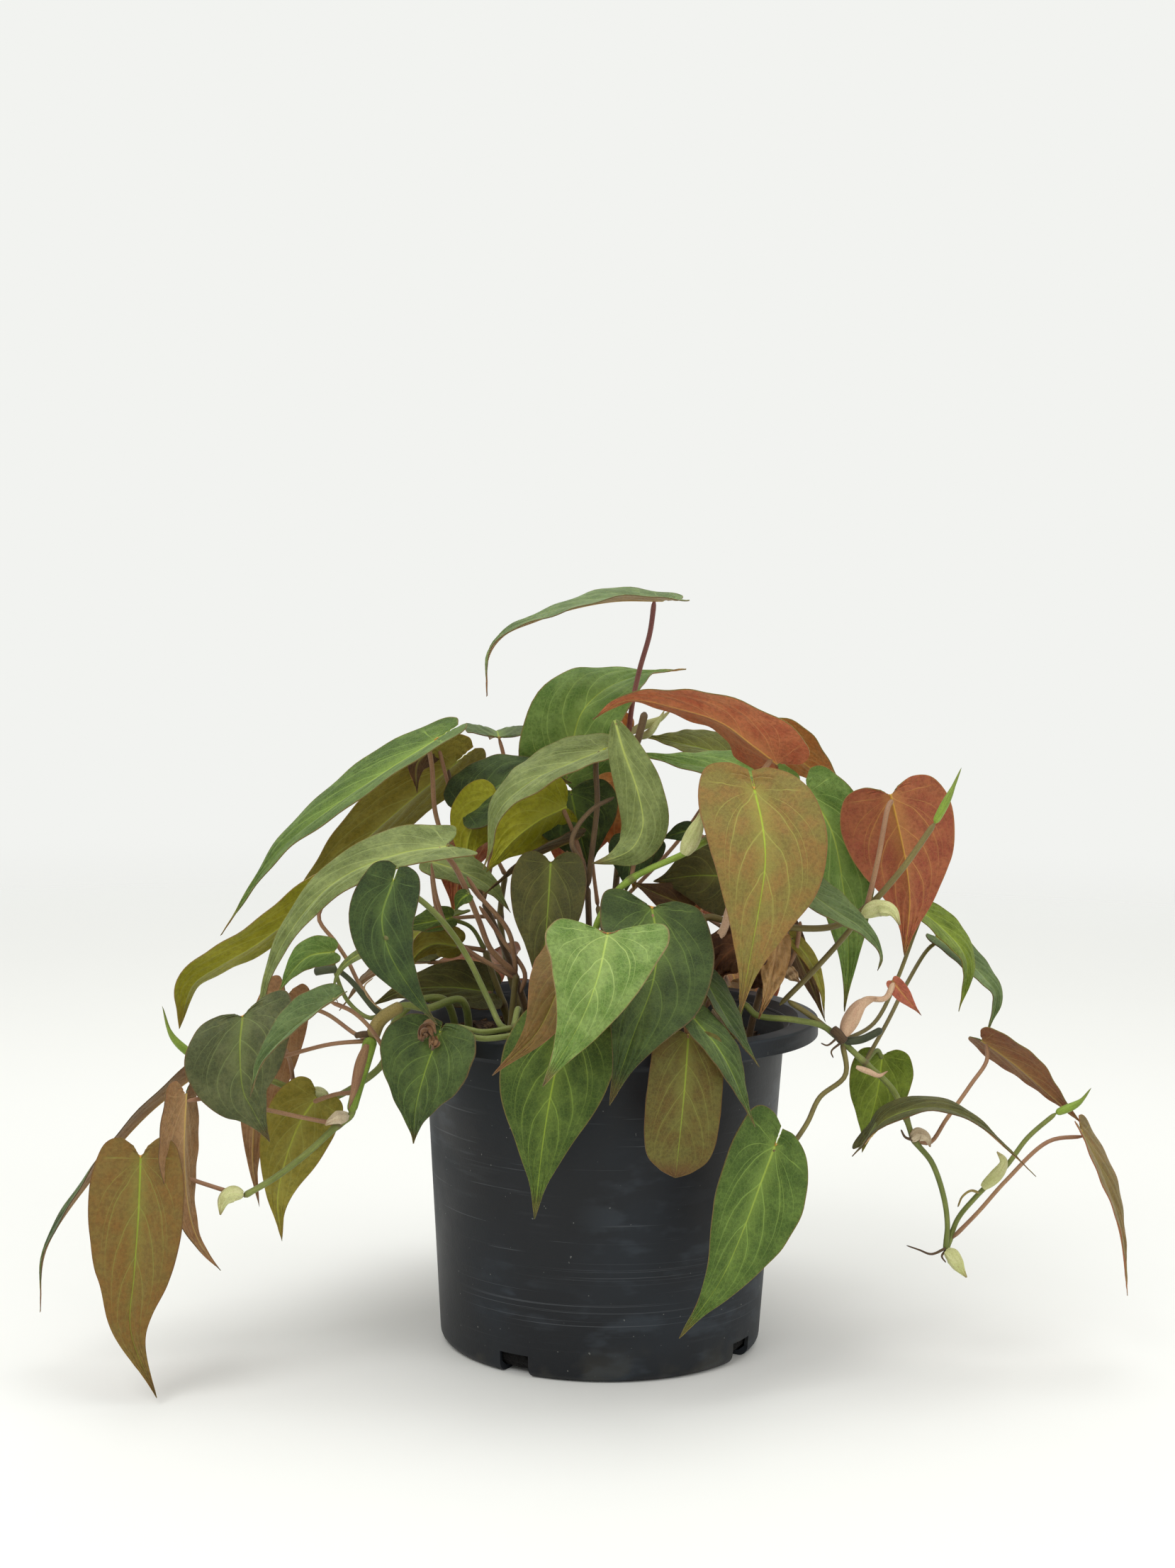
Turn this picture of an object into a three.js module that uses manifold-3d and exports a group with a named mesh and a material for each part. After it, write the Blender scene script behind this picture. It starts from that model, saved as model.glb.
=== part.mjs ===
// Potted micans philodendron: a black nursery pot, its potting mix and leafy stems with velvety heart leaves.
// Lengths are millimetres and +Z is up. The origin is on the floor, under the middle of the pot.

import * as THREE from 'three';
import { mergeVertices } from 'three/addons/utils/BufferGeometryUtils.js';
import Module from 'manifold-3d';

const wasm = await Module();
wasm.setup();

// Pot sizes
const potHeight = 156;
const collarRadius = 101;
const collarHeight = 8;
const collarThickness = 1.8;
const lipWidth = 10;
const lipThickness = 3;
const lipRound = 1.2;
const wallTopRadius = 86.5;
const wallBaseRadius = 76;
const wallThickness = 1.8;
const floorThickness = 2.2;
const baseRound = 5;
const baseRoundMiddle = 1.4;
const ledgeDrop = 11;
const ledgeStep = 1.6;
const ledgeHeight = 2;
const potFacets = 28;

// Drain notches, cut through the corner of wall and floor
const notchCount = 4;
const notchTurn = -31;
const notchWidth = 15;
const notchHeight = 10;
const notchReach = 14;
const notchSpare = 6;

// Potting mix
const soilTop = 140;
const soilGap = 0.3;
const soilSideGap = 0.8;
const soilFacets = 20;
const soilRings = [0.45, 0.8];
const soilShoulder = 2;
const soilRelief = 1.8;

// Roots: each stem stands in a plain hole in the mix
const rootDepth = 15;
const rootFloorGap = 1;
const rootGap = 0.4;
const rootHoleFacets = 6;

// Leaves and stems
const bladeThickness = 0.8;
const stalkRadius = 1.25;
const stemRadius = 2.2;
const twigRadius = 1.5;
const stalkOverlap = 0.025;
const stalkSides = 3;
const stemSides = 5;
const budRadii = [2, 1.9, 0.4];
const budOverlap = 1;
const usualFold = 0.18;
const waveShare = 0.05;
const waveCount = 1.6;

// Points of a piece closer than this are one point
const weld = 0.0001;

// The viewer that the plant's points are measured from
const eye = { x: -9.7, y: -1119, z: 342.7 };

// Half of a blade's outline from the stalk round to the tip: along the midrib in blade lengths,
// across it in half widths, and where on the midrib the line to that point starts
const outlines = {
  heart: [
    { along: -0.05, across: 0.15, from: 0 },
    { along: -0.085, across: 0.45, from: 0 },
    { along: -0.03, across: 0.82, from: 0 },
    { along: 0.15, across: 1.0, from: 0.13 },
    { along: 0.38, across: 0.9, from: 0.34 },
    { along: 0.62, across: 0.5, from: 0.59 },
    { along: 0.84, across: 0.14, from: 0.82 },
  ],
  // Its two lobes meet behind the stalk
  closed: [
    { along: -0.1, across: 0.03, from: 0 },
    { along: -0.115, across: 0.35, from: 0 },
    { along: -0.045, across: 0.8, from: 0 },
    { along: 0.15, across: 1.0, from: 0.13 },
    { along: 0.38, across: 0.9, from: 0.34 },
    { along: 0.62, across: 0.5, from: 0.59 },
    { along: 0.84, across: 0.14, from: 0.82 },
  ],
  // Its long tip has broken off
  blunt: [
    { along: -0.02, across: 0.2, from: 0 },
    { along: -0.03, across: 0.55, from: 0 },
    { along: 0.03, across: 0.88, from: 0.02 },
    { along: 0.22, across: 0.98, from: 0.2 },
    { along: 0.55, across: 1.0, from: 0.5 },
    { along: 0.82, across: 0.88, from: 0.78 },
    { along: 0.94, across: 0.48, from: 0.91 },
  ],
  // Its lobes end in corners
  shield: [
    { along: -0.01, across: 0.1, from: 0 },
    { along: -0.06, across: 0.5, from: 0 },
    { along: -0.045, across: 0.9, from: 0 },
    { along: 0.08, across: 1.0, from: 0.06 },
    { along: 0.32, across: 0.76, from: 0.3 },
    { along: 0.58, across: 0.42, from: 0.56 },
    { along: 0.83, across: 0.13, from: 0.81 },
  ],
  // Widest well below its shallow lobes
  broad: [
    { along: -0.03, across: 0.15, from: 0 },
    { along: -0.06, across: 0.5, from: 0 },
    { along: 0.0, across: 0.86, from: 0 },
    { along: 0.17, across: 1.0, from: 0.14 },
    { along: 0.4, across: 0.93, from: 0.36 },
    { along: 0.64, across: 0.58, from: 0.6 },
    { along: 0.85, across: 0.17, from: 0.83 },
  ],
  // Folded almost shut at both ends
  spear: [
    { along: 0.0, across: 0.08, from: 0 },
    { along: 0.06, across: 0.4, from: 0.05 },
    { along: 0.18, across: 0.72, from: 0.16 },
    { along: 0.4, across: 0.98, from: 0.38 },
    { along: 0.6, across: 1.0, from: 0.58 },
    { along: 0.78, across: 0.62, from: 0.76 },
    { along: 0.9, across: 0.2, from: 0.89 },
  ],
};

const colours = {
  pot: 0x1d2126,
  soil: 0x33241b,
  fresh: 0x6b8f45,
  olive: 0x8a8642,
  dark: 0x35502f,
  bronze: 0x8a6e40,
  red: 0x965032,
  dry: 0x9a7348,
};

// Leafy stems. A point is [across, up, depth]: where it stands against the upright plane through the pot's
// middle as the viewer sees it, and how far behind that plane it lies. A rib runs from the stalk to the tip.
// face is the way that the upper side looks at the stalk, and tipFace at the tip. A twig is a bare side stem.
const leafyStems = {
  front_stem: {
    colour: colours.fresh,
    root: [-4, -62],
    way: [[-3, 166, -66]],
    leaves: {
      front_pale: {
        rib: [[0.8, 192.3, -109], [-4, 170, -127], [-12, 149, -136], [-29, 119, -142]],
        width: 53, face: [0.05, -1, 0.25], outline: 'shield', skew: -0.09, rows: 2,
        stalk: [[-3, 183, -95], [-3, 166, -66]],
      },
      front_brown: {
        rib: [[-13, 188, -84], [-22, 166, -110], [-32, 145, -119], [-53, 124, -125]],
        width: 30, face: [-0.35, -1, 0.1], stalk: [[-8, 178, -72], [-3, 166, -66]],
      },
      front_low: {
        rib: [[-17, 151, -105], [-23, 126, -108], [-28, 95, -109], [-32, 55, -109]],
        width: 49, face: [-0.1, -1, 0.12], fold: -0.12, skew: -0.06, rows: 2,
        stalk: [[-9, 168, -92], [-3, 166, -66]],
      },
    },
  },
  front_right_stem: {
    colour: colours.dark,
    root: [22, -62],
    way: [[22, 166, -64], [23, 176, -66]],
    leaves: {
      front_right_green: {
        rib: [[21.7, 204.7, -62], [24.3, 190, -74], [22.5, 169, -95], [14, 145, -116], [3, 110.6, -126]],
        width: 50, face: [0.08, -1, 0.15], outline: 'broad', skew: 0.09, rows: 2,
        stalk: [[21, 192, -66], [23, 176, -66]],
      },
      front_bronze: {
        rib: [[40, 145, -101], [38.5, 118, -106], [35, 76, -108]],
        width: 33, face: [0.15, -1, 0.1], fold: 0.08, outline: 'blunt',
        stalk: [[34, 166, -88], [23, 176, -66]],
      },
      dark_blade: {
        rib: [[46, 174, -72], [60, 150, -88], [74, 130, -100]],
        width: 24, face: [0.7, -0.45, 0.45], stalk: [[36, 180, -68], [23, 176, -66]],
      },
      green_blade: {
        rib: [[41.5, 154, -96], [56, 136, -104], [72.6, 101, -106]],
        width: 21, face: [0.6, -0.6, 0.35], stalk: [[34, 166, -88]],
      },
    },
  },
  olive_stem: {
    colour: colours.olive,
    root: [-24, -44],
    way: [[-26, 166, -40], [-26, 190, -34]],
    leaves: {
      olive_centre: {
        rib: [[-26.5, 225.7, -42], [-27.7, 202, -52], [-29.3, 182, -58], [-33, 160, -60]],
        width: 35, face: [-0.1, -1, 0.15], stalk: [[-24, 212, -34], [-26, 190, -34]],
      },
    },
  },
  left_mid_stem: {
    colour: colours.olive,
    root: [-44, -34],
    way: [[-43, 164, -34], [-42, 173, -34]],
    leaves: {
      twist_left: {
        rib: [[-76, 233, -52], [-98.6, 229, -62], [-128, 215.5, -70], [-149, 192, -70], [-160, 168, -66],
          [-164.6, 136.7, -62]],
        width: 34, face: [-0.2, -0.5, 0.85], tipFace: [-0.7, -0.6, 0.2], outline: 'shield', radius: 1.7,
        stalk: [[-72, 224, -46], [-66, 212, -42], [-60, 198, -38], [-54, 184, -36], [-42, 173, -34]],
      },
      grey_under: {
        rib: [[-84, 226, -18], [-68, 221, -17], [-55, 214, -17], [-45, 202, -19]],
        width: 26, face: [0.2, -0.55, 0.8],
        stalk: [[-82, 214, -18], [-79, 200, -20], [-70, 188, -24], [-56, 178, -30], [-42, 173, -34]],
      },
      small_curl: {
        rib: [[-65.5, 210.5, -48], [-69, 207.5, -50], [-71.5, 202, -51]],
        width: 8, face: [-0.3, -0.9, 0.3], stalk: [[-66, 212, -42]],
      },
    },
  },
  left_high_stem: {
    colour: colours.fresh,
    root: [-34, 4],
    way: [[-40, 165, 4], [-50, 190, 6], [-58, 207, 8]],
    leaves: {
      long_green: {
        rib: [[-82, 283, 0], [-105, 268, -8], [-130, 250.5, -13], [-151.6, 232.4, -14], [-171, 206.4, -12],
          [-182.4, 189, -8]],
        width: 38, face: [-0.5, -0.38, 0.78], outline: 'closed', radius: 1.5,
        stalk: [[-83, 270, 6], [-81, 248, 8], [-72, 226, 10], [-58, 207, 8]],
      },
      olive_mid: {
        rib: [[-73, 272, 30], [-99, 250, 34], [-125, 225.5, 36], [-147, 201, 34], [-159, 179, 30]],
        width: 44, face: [-0.4, 0.65, 0.65], outline: 'closed',
        stalk: [[-72, 250, 28], [-64, 224, 20], [-58, 207, 8]],
      },
      dark_green: {
        rib: [[-67, 250, 8], [-52, 262, 10], [-35, 268, 12], [-17, 264, 14]],
        width: 42, face: [-0.35, -0.65, 0.7], stalk: [[-66, 238, 14], [-58, 207, 8]],
      },
      yellow_behind: {
        rib: [[-52, 256, 4], [-62, 245, 3], [-66, 233, 3], [-62, 221, 3]],
        width: 30, face: [0.1, 1, 0.3], stalk: [[-54, 238, 8], [-58, 207, 8]],
      },
      back_flat: {
        rib: [[-51.7, 285, 32], [-53, 288, 52], [-56, 284, 80]],
        width: 33, face: [0, 0.1, 1], stalk: [[-49, 274, 32], [-50, 254, 30], [-54, 228, 20], [-58, 207, 8]],
      },
      brown_tip: {
        rib: [[-80, 282, 24], [-90, 272, 18], [-90, 258, 14]],
        width: 14, face: [-0.2, 1, 0.2], stalk: [[-72, 250, 28]],
      },
    },
  },
  left_vine: {
    colour: colours.fresh,
    root: [-62, -42],
    way: [[-68, 160, -54], [-84, 156, -62], [-95, 157, -64], [-106, 152, -63], [-110.6, 140, -66],
      [-114, 128, -69], [-118, 115, -72], [-120, 104, -74], [-125.8, 99.5, -75], [-140, 86, -80],
      [-155, 74, -86], [-171, 64, -90]],
    leaves: {
      yellow_arch: {
        rib: [[-122, 218, -24], [-137, 208, -26], [-151, 196.5, -28], [-167, 184.5, -30], [-182, 175.5, -30],
          [-196, 165, -30], [-201.8, 144, -30]],
        width: 27, face: [-0.3, 0.6, 0.75], tipFace: [-0.9, 0.35, 0.2], outline: 'blunt',
        stalk: [[-136, 199, -32], [-128, 187, -34], [-122, 178, -40], [-117, 168, -48], [-106, 152, -63]],
      },
      small_left: {
        rib: [[-129, 182, -46], [-140, 180, -48], [-148, 173, -50], [-155, 162, -50]],
        width: 18, face: [-0.3, -0.7, 0.6],
        stalk: [[-128, 173, -48], [-122, 159, -54], [-112, 151, -60], [-106, 152, -63]],
      },
      pink_back: {
        rib: [[-151.4, 160, -38], [-157.3, 138.6, -34], [-164.9, 107.8, -32], [-166.5, 80.4, -32],
          [-163.3, 58.9, -34]],
        width: 27, face: [0.1, 1, 0.15], stalk: [[-133, 153, -48], [-118, 143, -60], [-110.6, 140, -66]],
      },
      left_arch: {
        rib: [[-195, 122, -63], [-219, 101, -69], [-243, 72, -72], [-265.6, 36, -70], [-268, 6, -66]],
        width: 31, face: [-0.68, 0.25, 0.7], tipFace: [-0.9, -0.4, 0.1], outline: 'closed',
        stalk: [[-180, 127, -66], [-156, 131, -67], [-130, 138, -70], [-110.6, 140, -66]],
      },
      edge_left: {
        rib: [[-198.7, 111.8, -92], [-199.6, 83.4, -96], [-197.1, 56, -98], [-191.7, 40.6, -99],
          [-181.5, 27.6, -99]],
        width: 30, face: [-0.9, 0.42, 0.1],
        stalk: [[-188, 111, -86], [-160, 106, -80], [-140, 102, -76], [-125.8, 99.5, -75]],
      },
      yellow_left: {
        rib: [[-136.9, 111.7, -60], [-144, 100.6, -62], [-150.3, 84.1, -64], [-154.5, 63.5, -64],
          [-152.4, 42.5, -64]],
        width: 33, face: [0.2, 1, 0.2], stalk: [[-127, 114, -66], [-118, 115, -72]],
      },
      bronze_left: {
        rib: [[-220, 81.7, -100], [-221, 54, -106], [-223, 25, -110], [-224.6, -2, -112], [-212, -35, -113]],
        width: 43, face: [-0.1, -1, 0.2], stalk: [[-210, 78, -92], [-199, 73, -90], [-171, 64, -90]],
      },
    },
  },
  left_back_vine: {
    colour: colours.dark,
    root: [-68, -26],
    way: [[-76, 160, -36], [-89, 159, -42], [-100, 148, -46], [-104, 130.5, -46], [-118, 118, -44],
      [-131, 112, -44], [-147, 116, -45], [-162.5, 121.7, -46], [-178, 125, -46], [-191, 128, -46]],
    buds: [[[-191, 128, -46], [-205, 140.5, -47], [-209.9, 155, -48]]],
    leaves: {
      dark_left: {
        rib: [[-171.7, 150.3, -83], [-172.9, 136, -88], [-171.1, 114.6, -90], [-166.5, 105.5, -90],
          [-158.4, 90.5, -88]],
        width: 48, face: [-0.1, -1, 0.2], skew: -0.2,
        stalk: [[-161, 146, -72], [-150, 132, -54], [-147, 116, -45]],
      },
      blue_edge: {
        rib: [[-128.9, 159.1, -92], [-141.2, 150.4, -98], [-152.3, 140.4, -102], [-163, 127.3, -104],
          [-168, 111.9, -104]],
        width: 20, face: [-0.4, -0.55, 0.7], fold: 0.6, outline: 'closed',
        stalk: [[-120, 154, -86], [-112, 147, -80], [-104, 135, -68], [-104, 130.5, -44]],
      },
    },
  },
  left_front_stem: {
    colour: colours.dark,
    root: [-40, -62],
    way: [[-41, 156, -70], [-43, 147, -82]],
    leaves: {
      rim_green: {
        rib: [[-78, 144, -90], [-84, 128, -95], [-89, 108, -97], [-90, 90.6, -95]],
        width: 47, face: [-0.5, -1, 0.15], outline: 'closed', rows: 2, radius: 1.6,
        stalk: [[-71, 147, -87], [-58, 145, -88], [-43, 147, -82]],
      },
      dark_front: {
        rib: [[-101, 216, -90], [-106, 199, -94], [-102.5, 182.5, -98], [-91, 163.4, -103],
          [-79, 147.6, -108]],
        width: 29, face: [0, -1, 0.1], outline: 'closed', radius: 1.7,
        stalk: [[-90, 209, -84], [-76, 196, -78], [-65, 180, -71], [-55, 160, -75], [-48, 147, -83],
          [-43, 147, -82]],
      },
      grey_hook: {
        rib: [[-103, 184, -92], [-116, 181.5, -80], [-126, 173, -72], [-128.5, 163, -69], [-125.5, 156, -69]],
        width: 5, face: [0, -1, 0.3], stalk: [[-103.5, 190, -97]],
      },
    },
  },
  left_rim_stem: {
    colour: colours.dark,
    root: [-44, -6],
    way: [[-48, 158, -8], [-53, 172, -8], [-57, 184, -6]],
    leaves: {
      rim_olive: {
        rib: [[-54, 164, -8], [-75, 166, -12], [-95, 164, -14], [-112, 156, -16]],
        width: 32, face: [-0.05, -0.6, 0.8], stalk: [[-48, 158, -8]],
      },
      gap_green: {
        rib: [[-73.5, 199, -8], [-83.5, 197, -10], [-92.2, 195, -10], [-100.2, 191, -10]],
        width: 15, face: [0, -0.7, 0.7], stalk: [[-64, 195, -6], [-57, 184, -6]],
      },
      gap_gold: {
        rib: [[-70, 186, -8], [-81, 187, -10], [-90, 181, -10], [-94, 171, -10]],
        width: 20, face: [-0.3, 0.8, 0.6], stalk: [[-57, 184, -6]],
      },
    },
  },
  centre_left_stem: {
    colour: colours.olive,
    root: [-8, -26],
    way: [[-8, 165, -28], [-8, 196, -30], [-9, 215, -30]],
    leaves: {
      pale_olive: {
        rib: [[-2.6, 279.7, -24], [-20.7, 272, -34], [-35.3, 265, -42], [-51, 250.6, -46], [-55, 232.6, -46],
          [-58.5, 222, -44]],
        width: 38, face: [-0.45, -0.5, 0.75], tipFace: [-0.9, -0.45, 0.1], outline: 'closed', radius: 1.8,
        stalk: [[-5.9, 274, -28], [-5, 255, -30], [-7, 233, -30], [-9, 215, -30]],
      },
      yellow_centre: {
        rib: [[-20, 252.5, -16], [-32, 246.5, -20], [-45, 236, -22], [-57, 221, -22]],
        width: 40, face: [-0.15, 0.9, 0.4], stalk: [[-15, 238, -18], [-11, 225, -24], [-9, 215, -30]],
      },
      brown_edge: {
        rib: [[-14, 238, -22], [-35, 228, -26], [-60, 209, -28]],
        width: 22, face: [-0.5, 0.25, 0.85], stalk: [[-11, 225, -24]],
      },
      teal_centre: {
        rib: [[-17.5, 260, -6], [-14, 245, -9], [-10, 230, -11], [-7, 220, -12]],
        width: 42, face: [0, -1, 0.2], stalk: [[-16, 250, -2], [-12, 232, -8], [-9, 215, -30]],
      },
    },
  },
  centre_stem: {
    colour: colours.bronze,
    root: [6, -40],
    way: [[2, 168, -46], [-4, 186, -52], [-4.8, 195, -54], [3.8, 211.6, -54], [11.6, 219, -53],
      [20.4, 224, -52], [35.6, 231, -50], [47, 238, -46], [58, 247, -42]],
    leaves: {
      bronze_big: {
        rib: [[69, 262, -54], [73.2, 245, -64], [74.8, 228, -72], [72, 204, -80], [68.3, 181, -88],
          [64.3, 155.5, -94]],
        width: 55, face: [0.05, -1, 0.15], outline: 'closed', skew: 0.08, rows: 2, radius: 1.8,
        stalk: [[65, 255, -46], [58, 247, -42]],
      },
      red_top: {
        rib: [[78.7, 275.3, -22], [67, 284, -26], [53.6, 293.5, -26], [34, 299.7, -24], [8, 303.5, -20],
          [-8, 294, -16]],
        width: 48, face: [0.1, 0.42, 0.9], radius: 1.5,
        stalk: [[70, 267.5, -28], [64, 256, -38], [58, 247, -42]],
      },
      centre_fold: {
        rib: [[2.6, 294, -47], [7.1, 279.3, -50], [14.1, 260.3, -52], [16.7, 244.1, -54], [11.6, 233.4, -57],
          [2.2, 228.5, -58], [-7.4, 225.9, -57]],
        width: 24, face: [-0.2, -1, 0.1], fold: -0.45, outline: 'spear',
        stalk: [[6, 292, -42], [13, 262, -43], [14, 236, -47], [11.6, 219, -53]],
      },
      small_dark: {
        rib: [[40, 243, -38], [33, 241, -36], [25, 238, -34]],
        width: 9, face: [0, -1, 0.2], stalk: [[47, 238, -46]],
      },
    },
  },
  back_centre_stem: {
    colour: colours.fresh,
    root: [8, 16],
    way: [[6, 168, 18], [4, 205, 18], [7, 245, 18], [9, 270, 18], [9, 286, 17]],
    leaves: {
      top_leaf: {
        rib: [[23, 350.5, 0], [2, 350, -4], [-18, 346, -6], [-35, 340, -7], [-50, 333, -8], [-57, 323, -8],
          [-57.6, 304, -8]],
        width: 46, face: [0.05, -0.1, 1], tipFace: [-0.95, -0.1, 0.2], fold: 0.13, outline: 'closed', rows: 2,
        radius: 1.6,
        stalk: [[18.5, 335, 6], [14, 318, 10], [11, 303, 14], [9, 286, 17]],
      },
      top_fresh: {
        rib: [[-20, 265, 28], [-17, 283, 20], [-13, 297, 17], [-4, 307, 22], [12, 314.5, 36],
          [36, 318.5, 50]],
        width: 50, face: [-0.05, -0.95, 0.3], tipFace: [0, 0.1, 1], outline: 'broad',
        stalk: [[-14, 262, 34], [-2, 266, 28], [9, 270, 18]],
      },
      orange_top: {
        rib: [[2, 298, 32], [-7, 284, 34], [-13, 267, 34]],
        width: 28, face: [0, 1, 0.1], stalk: [[9, 286, 17]],
      },
      orange_back: {
        rib: [[8, 266, 2], [10, 250, 0], [12, 232, 0], [13, 213, -2]],
        width: 36, face: [0, 1, 0.1], stalk: [[9, 268, 10], [9, 270, 18]],
      },
      under_fold: {
        rib: [[21, 239, -15], [14, 230, -16], [4, 219, -17]],
        width: 19, face: [0.2, -1, 0.1], stalk: [[17, 244, -6], [7, 245, 18]],
      },
      green_far: {
        rib: [[59, 277, 44], [45, 281, 44], [30, 284, 42], [14, 287, 40]],
        width: 32, face: [0, -0.45, 0.9], stalk: [[52, 266, 44], [34, 238, 36], [4, 205, 18]],
      },
      teal_low: {
        rib: [[12, 238, -18], [11, 226, -20], [9, 212, -20]],
        width: 22, face: [0, -1, 0.2], stalk: [[9, 240, -6], [7, 245, 18]],
      },
    },
  },
  right_back_stem: {
    colour: colours.dark,
    root: [44, 6],
    way: [[50, 170, 6], [58, 195, 6], [70, 222, 6], [80, 246, 6]],
    leaves: {
      green_long: {
        rib: [[84, 264, 16], [62, 270, 14], [40, 273, 10], [20, 277, 8], [8, 280, 6]],
        width: 38, face: [-0.1, -0.4, 0.95], stalk: [[83, 256, 8], [80, 246, 6]],
      },
      orange_right: {
        rib: [[66, 286, 30], [82, 281, 32], [98, 271, 32], [108, 262, 30], [118, 252, 26]],
        width: 40, face: [0.35, 0.6, 0.75], stalk: [[72, 270, 22], [80, 246, 6]],
      },
      green_right: {
        rib: [[94, 261, -6], [105, 245, -10], [112, 215, -13], [115, 185, -13], [113.8, 157, -10]],
        width: 38, face: [0.3, -0.9, 0.3], stalk: [[88, 254, 0], [80, 246, 6]],
      },
      teal_right: {
        rib: [[83.5, 223, -46], [104, 208, -54], [123.5, 195, -57], [130.6, 184, -57], [129, 176.9, -55]],
        width: 26, face: [0.4, -0.55, 0.75], stalk: [[78, 222, -30], [70, 222, 6]],
      },
      dark_mid: {
        rib: [[58, 221, -14], [42, 221, -18], [22, 218, -20]],
        width: 40, face: [0, -0.9, 0.3], stalk: [[62, 214, -2], [58, 195, 6]],
      },
      brown_low: {
        rib: [[40, 206, -20], [27, 211, -23], [11, 218, -25]],
        width: 17, face: [0, -0.9, 0.4], stalk: [[48, 201, -6], [58, 195, 6]],
      },
    },
  },
  right_spike_stem: {
    colour: colours.red,
    root: [44, -28],
    way: [[45, 172, -32], [44, 190, -34], [47, 201, -35], [60, 199, -36], [85, 197, -37], [108, 198, -38],
      [123, 207, -40], [139, 225, -41], [154.4, 247.6, -40]],
    twigs: [[[83, 160, -40], [100, 178, -40], [116, 197, -40], [123, 207, -40]]],
    buds: [[[154.4, 247.6, -40], [161, 261, -40], [166.3, 274, -39]]],
    leaves: {
      red_heart: {
        rib: [[133.5, 260, -30], [139, 239, -26], [141.5, 227, -24], [143.5, 211, -24], [141.7, 184, -26]],
        width: 53, face: [0.05, 1, 0.15], rows: 2, radius: 1.5,
        stalk: [[132, 254, -38], [128, 230, -45], [124, 211, -43], [123, 207, -40]],
      },
    },
  },
  right_vine: {
    colour: colours.fresh,
    root: [58, -46],
    way: [[66, 160, -50], [72, 155, -52], [90, 153, -52], [104, 150, -50], [113, 143, -50], [124, 133, -49],
      [137, 121, -48], [144, 107.4, -46], [148.4, 96.2, -44], [157.1, 85.3, -42], [163.3, 68.3, -41],
      [165.3, 54.6, -40], [164.8, 43, -39], [170, 58, -37], [178, 68.5, -36], [192.6, 84.2, -36],
      [202.4, 98, -36], [215.5, 110, -36]],
    radius: 1.8,
    twigs: [
      [[113, 143, -50], [122, 144, -51], [132, 149, -52]],
      [[87, 162, -47], [113, 143, -50]],
    ],
    buds: [[[215.5, 110, -36], [226.5, 115.5, -37], [232, 122.5, -38]]],
    leaves: {
      low_green: {
        rib: [[82, 92, -78], [76, 75, -86], [68, 52, -94], [57, 26, -101], [38, -2, -106]],
        width: 43, face: [0.35, -1, 0.25], skew: 0.08, outline: 'closed', rows: 2, radius: 1.5,
        stalk: [[89, 92, -72], [97, 103, -66], [103, 116, -60], [115, 127, -54], [113, 143, -50]],
      },
      heart_right: {
        rib: [[132.3, 136.2, -36], [130.5, 120, -34], [127, 104, -32], [123.7, 89.5, -30]],
        width: 30, face: [0.1, -1, 0.25], stalk: [[130, 139, -39], [124, 133, -49]],
      },
      edge_right: {
        rib: [[125.5, 95.1, -60], [134.7, 105.5, -62], [154.8, 111.6, -62], [175.2, 106.1, -62],
          [192.4, 92.7, -60], [207, 79.2, -58]],
        width: 26, face: [0.25, -0.12, 1], stalk: [[134, 108, -54], [144, 107.4, -46]],
      },
      red_right: {
        rib: [[180.2, 144, -30], [194.6, 134, -30], [210.2, 121, -30], [229.5, 104, -28]],
        width: 28, face: [0.45, 0.55, 0.75],
        stalk: [[182, 135, -34], [174.7, 123.2, -38], [163.3, 106, -41], [155.9, 95, -42],
          [148.4, 96.2, -44]],
      },
      far_right: {
        rib: [[228, 101, -46], [235.5, 86.5, -48], [242.5, 69.5, -50], [248.5, 50, -50], [252.3, 22, -48]],
        width: 28, face: [0.9, -0.35, 0.3],
        stalk: [[212.5, 96.4, -48], [192.8, 77.3, -50], [180, 62, -46], [168, 49, -39]],
      },
      arch_yellow: {
        rib: [[148.4, 206.2, -8], [159.3, 197.6, -10], [169.5, 186, -11], [171.5, 176.5, -11],
          [168, 158, -11]],
        width: 23, face: [0.62, -0.55, 0.7],
        stalk: [[146, 195, -12], [138, 172, -20], [128, 152, -34], [113, 143, -50]],
      },
      arch_green: {
        rib: [[157, 193, 8], [169, 184, 4], [180, 174, 0], [185.5, 166, -2], [181.5, 147, -2]],
        width: 24, face: [0.62, -0.5, 0.65],
        stalk: [[153, 188, 4], [143, 171, -14], [134, 152, -36], [124, 133, -49]],
      },
      pink_bud: {
        rib: [[136.5, 172, -52], [141, 166.5, -52], [150.5, 155.8, -52]],
        width: 8, face: [-0.3, -1, 0.1], radius: 1.9,
        stalk: [[133, 164, -52], [123, 163, -52], [117, 154, -51], [113, 143, -50]],
      },
    },
  },
  dry_leaf_stem: {
    colour: colours.dry,
    root: [66, -26],
    way: [[74, 166, -28], [83, 184, -30], [84, 192, -30]],
    leaves: {
      tan_leaf: {
        rib: [[81.6, 192, -44], [79.9, 178.8, -50], [77, 165, -56], [73, 153, -60]],
        width: 14, face: [0.3, -1, 0], stalk: [[84, 192, -30]],
      },
      dark_hanging: {
        rib: [[86, 198, -22], [90, 186, -20], [97.2, 171, -18], [105, 152, -16]],
        width: 12, face: [0.3, -0.9, 0.2], stalk: [[84, 192, -30]],
      },
      thin_yellow: {
        rib: [[88, 192, -36], [96.5, 182, -36], [102.5, 168, -34], [104.5, 154, -32]],
        width: 9, face: [0.6, -0.7, 0.3], stalk: [[84, 192, -30]],
      },
      crumpled_upper: {
        rib: [[71, 188, -50], [60, 186, -54], [52, 175, -56], [58, 163, -54]],
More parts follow.
